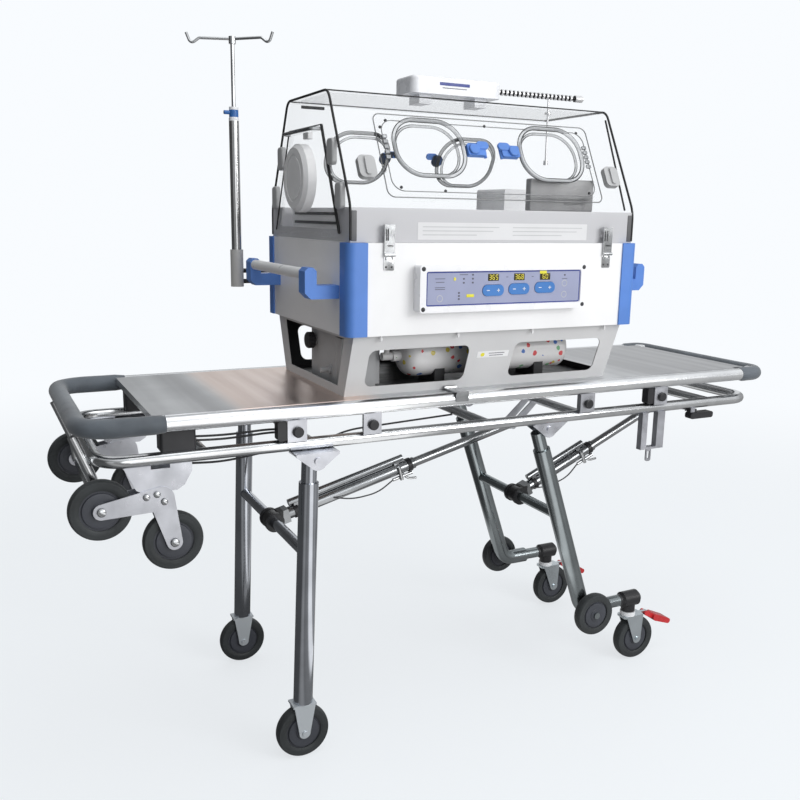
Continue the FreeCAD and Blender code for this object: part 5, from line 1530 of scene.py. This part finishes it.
    def screws(self) -> None:
        """A black screw near each corner of the frame."""
        screws = Piece("panel_screws", "black_plastic", "stretcher")
        low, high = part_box("control_panel")
        for x in (low[0] + self.screw_inset, high[0] - self.screw_inset):
            for z in (low[2] + self.screw_inset, high[2] - self.screw_inset):
                screws.add(screw((x, low[1] + 0.0003, z), Along.Y, 0.0055, 0.0012, -1.0))
        screws.make()

    def build(self) -> None:
        """The whole control panel."""
        dress("panel_frame", "control_panel")
        dress("key_rubber", "key_pad_left", "key_pad_middle", "key_pad_right")
        face = front_plane(self.face_y)
        self.sheet(face)
        self.displays(face)
        self.prints(face)
        self.signs()
        self.screws()


@dataclass
class Body:
    """Body shell, corner bumpers, handles and draw latches."""

    latch_x: tuple[float, float] = (-0.276, 0.332)
    foot_z: float = 1.176
    foot_size: tuple[float, float] = (0.026, 0.030)
    wire_half: float = 0.008
    wire_foot: tuple[float, float] = (0.0022, 1.184)
    wire_top: tuple[float, float] = (0.0030, 1.192)
    screw_u: float = 0.007
    screw_z: float = 1.169

    def latch_feet(self) -> None:
        """Below each draw latch, a foot plate with a wire loop and two screws."""
        plates = Piece("latch_plates", "bright_steel", "stretcher")
        dots = Piece("latch_screws", "black_plastic", "stretcher")
        face = front_plane(-BODY_HALF_Y)
        for x in self.latch_x:
            plates.add(plate(face, rounded(*self.foot_size, 0.003, (x, self.foot_z)), 0.0, 0.0014, 0.0004))
            rows = ((-1, self.wire_foot), (-1, self.wire_top), (1, self.wire_top), (1, self.wire_foot))
            loop = [(x + side * self.wire_half, -BODY_HALF_Y - out, z) for side, (out, z) in rows]
            plates.add(round_bar(bent_path(loop, 0.003), 0.0012, (0, 1, 0), 8))
            for side in (-1, 1):
                place = (x + side * self.screw_u, -BODY_HALF_Y - 0.0012, self.screw_z)
                dots.add(screw(place, Along.Y, 0.0026, 0.0009, -1.0))
        plates.make()
        dots.make()

    def latch_slits(self) -> None:
        """Two dark slits in the front of each draw latch; they ride on it."""
        for side in ("left", "right"):
            node = "hood_latch_" + side
            low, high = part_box(node)
            front = front_plane(low[1])
            slits = Piece("latch_slits_" + side, "black_plastic", node)
            middle = (low[0] + high[0]) / 2
            for size, right, down in (((0.0026, 0.026), -0.006, 0.022), ((0.0100, 0.0026), 0.001, 0.046)):
                shape = rounded(*size, 0.0012, (middle + right, high[2] - down))
                slits.add(plate(front, shape, -0.0008, 0.0003))
            slits.make()

    def build(self) -> None:
        """Everything between base and hood."""
        dress("body_white", "body_shell")
        dress("bumper_blue", "corner_columns")
        dress("bright_white", "handle_bars")
        dress("bright_steel", "hood_latch_left", "hood_latch_right")
        self.latch_feet()
        self.latch_slits()
        Panel().build()


@dataclass
class Hood:
    """Clear hood with its doors, ports, seals and knobs."""

    seal: float = 0.0029
    seal_out: float = 0.0005
    seal_foot: float = 0.004
    seal_bend: float = 0.022
    slope_line: tuple[tuple[float, float], tuple[float, float]] = ((0.366, 0.381), (0.004, 0.262))
    ridge_inset: float = 0.0065
    door_half_u: float = 0.300
    door_v: tuple[float, float] = (0.020, 0.232)
    door_band: float = 0.034
    port_size: tuple[float, float] = (0.192, 0.154)
    port_inset: float = 0.012
    hole_size: tuple[float, float] = (0.160, 0.124)
    hole_spread: float = 0.004
    front_wall: float = 0.0058
    rear_wall: float = 0.0004
    rim_out: float = 0.0062
    port_rim: float = 0.0052
    port_corner: float = 0.062
    hole_rim: float = 0.0036
    hole_corner: float = 0.060
    hole_depths: tuple[float, float] = (-0.0022, -0.0068)
    end_in: float = 0.0038
    end_foot: tuple[float, float] = (0.2195, 1.241)
    end_run: tuple[float, float] = (0.1085, 0.241)
    end_top: tuple[float, float] = (0.110, 1.483)
    pull_rows: tuple[Triple, ...] = ((0.0, -0.106, 1.474), (0.020, -0.100, 1.474), (0.020, 0.100, 1.474),
                                     (0.0, 0.106, 1.474))
    catch: tuple[float, float] = (-0.040, 1.462)
    corner_size: Triple = (0.014, 0.066, 0.002)
    corner_inset: float = 0.008
    corner_z: float = 1.2585
    ridge_bar: tuple[float, float] = (0.03, 0.09)
    ridge_y: float = 0.118
    ridge_drop: float = 0.012
    block_gap: float = 0.0135
    block_size: Triple = (0.012, 0.009, 0.002)
    block_rows: tuple[float, ...] = (-0.026, -0.013, 0.0, 0.013, 0.026)
    wing_foot: float = 0.0150
    wing_lobes: tuple[tuple[float, ...], ...] = ((0.030, 0.011, 0.034, 0.020, 0.0098, 0.0205, 0.002),
                                                 (0.055, -0.001, 0.028, 0.026, 0.0125, 0.0240, 0.003))
    rear_right: float = 0.008
    rear_top: float = 0.0210
    rear_lobes: tuple[tuple[float, ...], ...] = ((0.0, -0.002, 0.034, 0.034), (0.020, 0.010, 0.034, 0.018))
    knobs: tuple[tuple[float, float], ...] = ((0.172, 1.420), (0.221, 1.323))
    knob_size: Triple = (0.036, 0.058, 0.010)
    label_x: tuple[float, float] = (-0.198, 0.277)
    label_z: tuple[float, float] = (1.229, 1.268)
    label_columns: tuple[float, float] = (0.012, 0.255)
    label_down: float = 0.010
    label_pitch: float = 0.0090
    label_line: float = 0.205
    label_shares: tuple[float, ...] = (1.0, 0.92, 0.70)

    def end_seals(self) -> None:
        """Black seals over both end outlines, and thin black lines of painted shade along the slope's edge
        and the ridges.
        """
        seals = Piece("hood_seals", "gasket_rubber", "hood")
        side, top, half = HOOD_HALF_Y + self.seal_out, HOOD_TOP_Z + self.seal_out, HOOD_TOP_HALF_Y
        foot = HOOD_BASE_Z + self.seal_foot
        corners = [(-side, foot), (-side, HOOD_KNEE_Z), (-half, top), (half, top), (side, HOOD_KNEE_Z),
                   (side, foot)]
        for x, share in ((INC_X - HOOD_HALF_X, corners), (INC_X + HOOD_HALF_X, corners[:4])):
            path = bent_path([(x, y, z) for y, z in share], self.seal_bend)
            seals.add(round_bar(path, self.seal, (1, 0, 0), 12))
        # These thin lines are painted shade on the clear edges, in place of the darkening that refraction
        # gives.
        u, v = (np.array(ends) for ends in self.slope_line)
        seals.add(round_bar(FRONT_SLOPE.at(u, v, np.full(2, 0.0010)), 0.0024, (0, 1, 0), 10))
        for y in (-half + self.ridge_inset, half - self.ridge_inset):
            ridge = [(x, y, top - 0.0008) for x in (INC_X - HOOD_HALF_X, INC_X + HOOD_HALF_X)]
            seals.add(round_bar(np.array(ridge), 0.0016, (0, 0, 1), 10))
        seals.make()

    def port_rims(self) -> None:
        """Clear rings: a tube round every port door, and one round every arm hole."""
        wide, tall = (size - self.port_inset for size in self.port_size)
        for side, u in (("left", -PORT_U), ("right", PORT_U)):
            rim = rounded(wide, tall, self.port_corner, (u, PORT_V), 16)
            for body, plane, wall in (("front_port_" + side, FRONT_SLOPE, self.front_wall),
                                      ("rear_port_" + side, REAR_SLOPE, self.rear_wall)):
                path = plane.at(rim[:, 0], rim[:, 1], np.full(len(rim), wall + self.rim_out))
                ring = Piece(body + "_rim", "clear_rim", body)
                ring.add(round_bar(path, self.port_rim, plane.out, 12, True), True).make()
        wide, tall = (size + self.hole_spread for size in self.hole_size)
        front, rear = self.hole_depths
        for name, body, plane, depth in (("front_hole_rims", "front_door", FRONT_SLOPE, front),
                                         ("rear_hole_rims", "hood", REAR_SLOPE, rear)):
            rims = Piece(name, "clear_rim", body)
            for u in (-PORT_U, PORT_U):
                rim = rounded(wide, tall, self.hole_corner, (u, PORT_V), 16)
                path = plane.at(rim[:, 0], rim[:, 1], np.full(len(rim), depth))
                rims.add(round_bar(path, self.hole_rim, plane.out, 10, True), True)
            rims.make()

    def door_border(self) -> None:
        """A raised clear band round the front door with a dark line of painted shade along each edge, and
        its screws.
        """
        v0, v1 = self.door_v
        middle = (0.0, 0.5 * (v0 + v1))
        wide, tall = 2 * self.door_half_u, v1 - v0
        edge = Piece("front_door_border", "clear_panel", "front_door")
        outer = rounded(wide, tall, 0.020, middle, 12)
        inner = rounded(wide - self.door_band, tall - self.door_band, 0.030, middle, 12)
        edge.add(border(FRONT_SLOPE, outer, inner, 0.0054, 0.0070, 0.0006), True)
        edge.make()
        # Dark lines at the band's edges: painted shade in place of the darkening that refraction gives.
        lines = Piece("front_door_lines", "painted_shade_line", "front_door")
        for inset, corner, radius in ((0.003, 0.018, 0.0013), (self.door_band, 0.030, 0.0011)):
            rim = rounded(wide - inset, tall - inset, corner, middle, 12)
            path = FRONT_SLOPE.at(rim[:, 0], rim[:, 1], np.full(len(rim), 0.0064))
            lines.add(round_bar(path, radius, FRONT_SLOPE.out, 8, True), True)
        lines.make()
        dots = Piece("front_door_screws", "black_plastic", "front_door")
        for u, v in ((-0.268, v1 - 0.018), (-0.004, v1 - 0.016), (0.268, v1 - 0.018),
                     (-0.285, PORT_V + 0.05), (-0.262, v0 + 0.026), (-0.150, v0 + 0.020),
                     (0.262, v0 + 0.026)):
            dots.add(plate(FRONT_SLOPE, rounded(0.007, 0.007, 0.0034, (u, v), 4), 0.0054, 0.0086, 0.001))
        dots.make()

    def end_door(self) -> None:
        """Seals along the end door's slanted edges and its top, its pull bar and its catch."""
        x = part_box("end_door")[0][0] + self.end_in
        rise = np.linspace(0.0, 1.0, 12)
        seal = Piece("end_door_seal", "gasket_rubber", "end_door")
        for side, radius in ((-1, 0.0034), (1, 0.0018)):
            edge = np.stack([np.full(12, x), side * (self.end_foot[0] - self.end_run[0] * rise),
                             self.end_foot[1] + self.end_run[1] * rise], axis=1)
            seal.add(round_bar(edge, radius, (1, 0, 0), 10))
        half, top = self.end_top
        seal.add(round_bar(np.array([(x, -half, top), (x, half, top)]), 0.0014, (1, 0, 0), 10))
        seal.make()
        pull = Piece("end_door_pull", "clear_edge", "end_door")
        path = bent_path([(x - out, y, z) for out, y, z in self.pull_rows], 0.012)
        pull.add(round_bar(path, 0.0042, (0, 0, 1), 12)).make()
        block = Piece("end_door_catch", "bright_white", "end_door")
        wall = left_plane(x - 0.0008)
        block.add(plate(wall, rounded(0.034, 0.016, 0.003, self.catch), 0.0, 0.012, 0.002)).make()

    def skirt_corners(self) -> None:
        """The dark corner pieces of the skirt, and a short dark bar under the ridge."""
        corners = Piece("skirt_corners", "dark_moulding", "hood")
        face = front_plane(-HOOD_HALF_Y)
        for x in (INC_X - HOOD_HALF_X + self.corner_inset, INC_X + HOOD_HALF_X - self.corner_inset):
            corners.add(plate(face, rounded(*self.corner_size, (x, self.corner_z)), 0.0, 0.0012, 0.0004))
        corners.make()
        bar = Piece("ridge_bar", "gasket_rubber", "hood")
        y, z = self.ridge_y, HOOD_TOP_Z - self.ridge_drop
        path = [(INC_X - HOOD_HALF_X + x, y, z) for x in self.ridge_bar]
        bar.add(round_bar(np.array(path), 0.0040, (0, 0, 1), 10)).make()

    def hinge_blocks(self) -> None:
        """Ribbed hinge blocks beside the front ports."""
        blocks = Piece("port_hinge_blocks", "clear_edge", "front_door")
        for side in (-1, 1):
            u = side * (PORT_U + self.port_size[0] / 2 + self.block_gap)
            for dv in self.block_rows:
                shape = rounded(*self.block_size, (u, PORT_V + dv), 4)
                blocks.add(plate(FRONT_SLOPE, shape, 0.0054, 0.0110, 0.0015))
        blocks.make()

    def wings(self) -> None:
        """Blue wings on the ports' latches: two rounded lobes beside each catch, front and rear.

        A front lobe's row holds its middle, its size, its corner, its top and its soft edge.
        """
        for side, way in (("left", -1), ("right", 1)):
            wing = Piece("latch_wing_" + side, "bumper_blue", "port_latch_" + side)
            for out, dv, wide, tall, corner, top, soft in self.wing_lobes:
                lobe = rounded(wide, tall, corner, (way * out, PORT_V + dv), 10)
                wing.add(plate(FRONT_SLOPE, lobe, self.wing_foot, top, soft))
            wing.make()
            butterfly = Piece("rear_wing_" + side, "bumper_blue", "rear_port_" + side)
            u = way * (PORT_U - self.port_size[0] / 2 + self.rear_right)
            for back, dv, wide, tall in self.rear_lobes:
                shape = rounded(wide, tall, 0.45 * min(wide, tall), (u - way * back, PORT_V + dv), 10)
                butterfly.add(plate(REAR_SLOPE, shape, self.wing_foot, self.rear_top, 0.002))
            butterfly.make()

    def end_knobs(self) -> None:
        """Grey rounded turn knobs on the end wall, beside the slanted edges of the end door."""
        knobs = Piece("end_wall_knobs", "knob_grey", "hood")
        wall = left_plane(INC_X - HOOD_HALF_X)
        for side in (-1, 1):
            for y, z in self.knobs:
                knobs.add(plate(wall, rounded(*self.knob_size, (side * y, z)), 0.0, 0.012, 0.004))
        knobs.make()

    def skirt_label(self) -> None:
        """A plain label on the front skirt, with two columns of grey lines."""
        face = front_plane(-HOOD_HALF_Y)
        x0, x1 = self.label_x
        z0, z1 = self.label_z
        middle = (0.5 * (x0 + x1), 0.5 * (z0 + z1))
        Piece("skirt_label", "label_grey", "hood").add(
            plate(face, rounded(x1 - x0, z1 - z0, 0.002, middle), 0.0001, 0.0005)).make()
        lines = Piece("skirt_label_lines", "box_grey", "hood")
        for column in self.label_columns:
            for row, share in enumerate(self.label_shares):
                wide = self.label_line * share
                place = (x0 + column + wide / 2, z1 - self.label_down - row * self.label_pitch)
                lines.add(plate(face, rounded(wide, 0.0020, 0.0006, place, 3), *PRINT))
        lines.make()

    def build(self) -> None:
        """Everything that tilts with the hood."""
        dress("acrylic", "hood_shell")
        dress("clear_panel", "front_door", "end_door", "front_port_left", "front_port_right",
              "rear_port_left", "rear_port_right")
        dress("bumper_blue", "port_latch_left", "port_latch_right")
        dress("drum_grey", "end_port")
        dress("knob_grey", "door_knob_left", "door_knob_right")
        self.end_seals()
        self.port_rims()
        self.door_border()
        self.end_door()
        self.skirt_corners()
        self.hinge_blocks()
        self.wings()
        self.end_knobs()
        self.skirt_label()


@dataclass
class Cabin:
    """Mattress tray and mattress."""

    rim_gap: float = 0.002
    rim_corner: float = 0.030
    flat_shares: tuple[float, float] = (0.02, 0.86)
    round_share: float = 0.14
    side_pull: float = 0.010
    crown_fall: float = 0.0012
    seam: float = 0.0016
    ledge_z: tuple[float, ...] = (1.242, 1.262, 1.284)
    ledge_size: tuple[float, float] = (0.40, 0.007)
    duct_x: tuple[float, float] = (0.136, 0.329)
    duct_y: float = -0.200
    duct_z: float = 1.2985
    duct_tall: float = 0.078
    duct_deep: float = 0.020
    screw_x: tuple[float, float] = (-0.11, 0.34)
    screw_up: float = 0.068

    def mattress(self) -> None:
        """A crowned cushion: its outline is a rounded rectangle, and each half rises as a flat-topped arch.

        The height over the middle plane is the half thickness times one minus the eighth power of the
        share of the way to the rim, to the power 0.4, and the sides pull in a little between the corners.
        """
        low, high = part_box("mattress")
        middle = [(a + b) / 2 for a, b in zip(low, high)]
        wide, deep, thick = (b - a for a, b in zip(low, high))
        rim = rounded(wide - self.rim_gap, deep - self.rim_gap, self.rim_corner, (0.0, 0.0), 24)
        edge = 1 - self.round_share * np.cos(np.linspace(0, math.pi / 2, 10))
        share = np.concatenate([np.linspace(*self.flat_shares, 14), edge])
        arch = np.power(np.clip(1 - share ** 8, 0, 1), 0.4)
        upper = list(zip(share, arch))
        layers = upper + [(s, -h) for s, h in upper[-2::-1]]
        turn = np.arctan2(rim[:, 1] * wide / deep, rim[:, 0])
        pull = 1 - self.side_pull * np.abs(np.sin(turn * 2)) ** 0.5
        rings = []
        for s, h in layers:
            crown = 0.5 * thick * h
            if h > 0:
                crown = crown - self.crown_fall * (1 - s)
            rings.append(np.stack([middle[0] + rim[:, 0] * s * pull, middle[1] + rim[:, 1] * s * pull,
                                   np.full(len(rim), middle[2] + crown)], axis=1))
        cushion = Piece("mattress_cushion", "mattress_cover", "stretcher")
        cushion.add(np.array(rings)).make(("mattress",), 70.0)
        seam = Piece("mattress_seam", "tray_white", "stretcher")
        path = np.stack([middle[0] + rim[:, 0] * pull, middle[1] + rim[:, 1] * pull,
                         np.full(len(rim), middle[2])], axis=1)
        seam.add(round_bar(path, self.seam, (0, 0, 1), 8, True), True).make()

    def ledges(self) -> None:
        """Ledges across the tray's left end, in black: painted shade of that shaded end."""
        # The ledges' black is painted shade.
        edge = Piece("tray_end_ledges", "gasket_rubber", "stretcher")
        wall = left_plane(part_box("mattress_tray")[0][0])
        for z in self.ledge_z:
            edge.add(plate(wall, rounded(*self.ledge_size, 0.002, (0.0, z)), -0.0004, 0.0022, 0.0006))
        edge.make()

    def duct(self) -> None:
        """The grey cover of the air duct, on the tray in front of the mattress."""
        duct = Piece("air_duct_cover", "duct_grey", "stretcher")
        x0, x1 = self.duct_x
        middle = (0.5 * (x0 + x1), self.duct_z + self.duct_tall / 2)
        outline = rounded(x1 - x0, self.duct_tall, 0.004, middle)
        duct.add(plate(front_plane(self.duct_y), outline, 0.0, self.duct_deep, 0.003)).make()

    def screws(self) -> None:
        """Five bright screws along the tray's front."""
        low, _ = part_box("mattress_tray")
        screws = Piece("tray_screws", "bright_steel", "stretcher")
        for x in np.linspace(*self.screw_x, 5):
            place = (x, low[1] + 0.0002, low[2] + self.screw_up)
            screws.add(screw(place, Along.Y, 0.0042, 0.0016, -1.0))
        screws.make()

    def build(self) -> None:
        """Everything inside the hood."""
        dress("tray_white", "mattress_tray")
        self.mattress()
        self.ledges()
        self.duct()
        self.screws()


@dataclass
class Top:
    """Lamp unit, gooseneck and drip pole."""

    strip_left: float = 0.010
    strip_down: float = 0.017
    strip_size: tuple[float, float] = (0.086, 0.0075)
    line_down: float = 0.0095
    line_size: tuple[float, float] = (0.070, 0.0018)

    def lamp(self) -> None:
        """A navy strip and a thin line on the lamp unit's front."""
        low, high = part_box("lamp_unit")
        face = front_plane(low[1])
        x, z = (low[0] + high[0]) / 2 - self.strip_left, high[2] - self.strip_down
        Piece("lamp_strip", "navy_line", "hood").add(
            plate(face, rounded(*self.strip_size, 0.0015, (x, z)), -0.0002, 0.0006, 0.0002)).make()
        lines = Piece("lamp_lines", "print_grey", "hood")
        lines.add(plate(face, rounded(*self.line_size, 0.0006, (x, z - self.line_down)), -0.0002, 0.0004))
        lines.make()

    def build(self) -> None:
        """Everything above the hood and beside the body."""
        dress("lamp_white", "lamp_unit")
        dress("ribbed_arm", "gooseneck")
        dress("bright_steel", "iv_pole_upper")
        dress("pole_steel", "iv_pole_lower")
        self.lamp()


def main() -> None:
    """Build every sub-assembly in order."""
    logging.basicConfig(level=logging.INFO, format="%(name)s: %(message)s")
    for assembly in (Studio(), Stretcher(), Base(), Body(), Hood(), Cabin(), Top()):
        assembly.build()
        LOG.info("%s done", type(assembly).__name__)


if __name__ == "__main__":
    main()
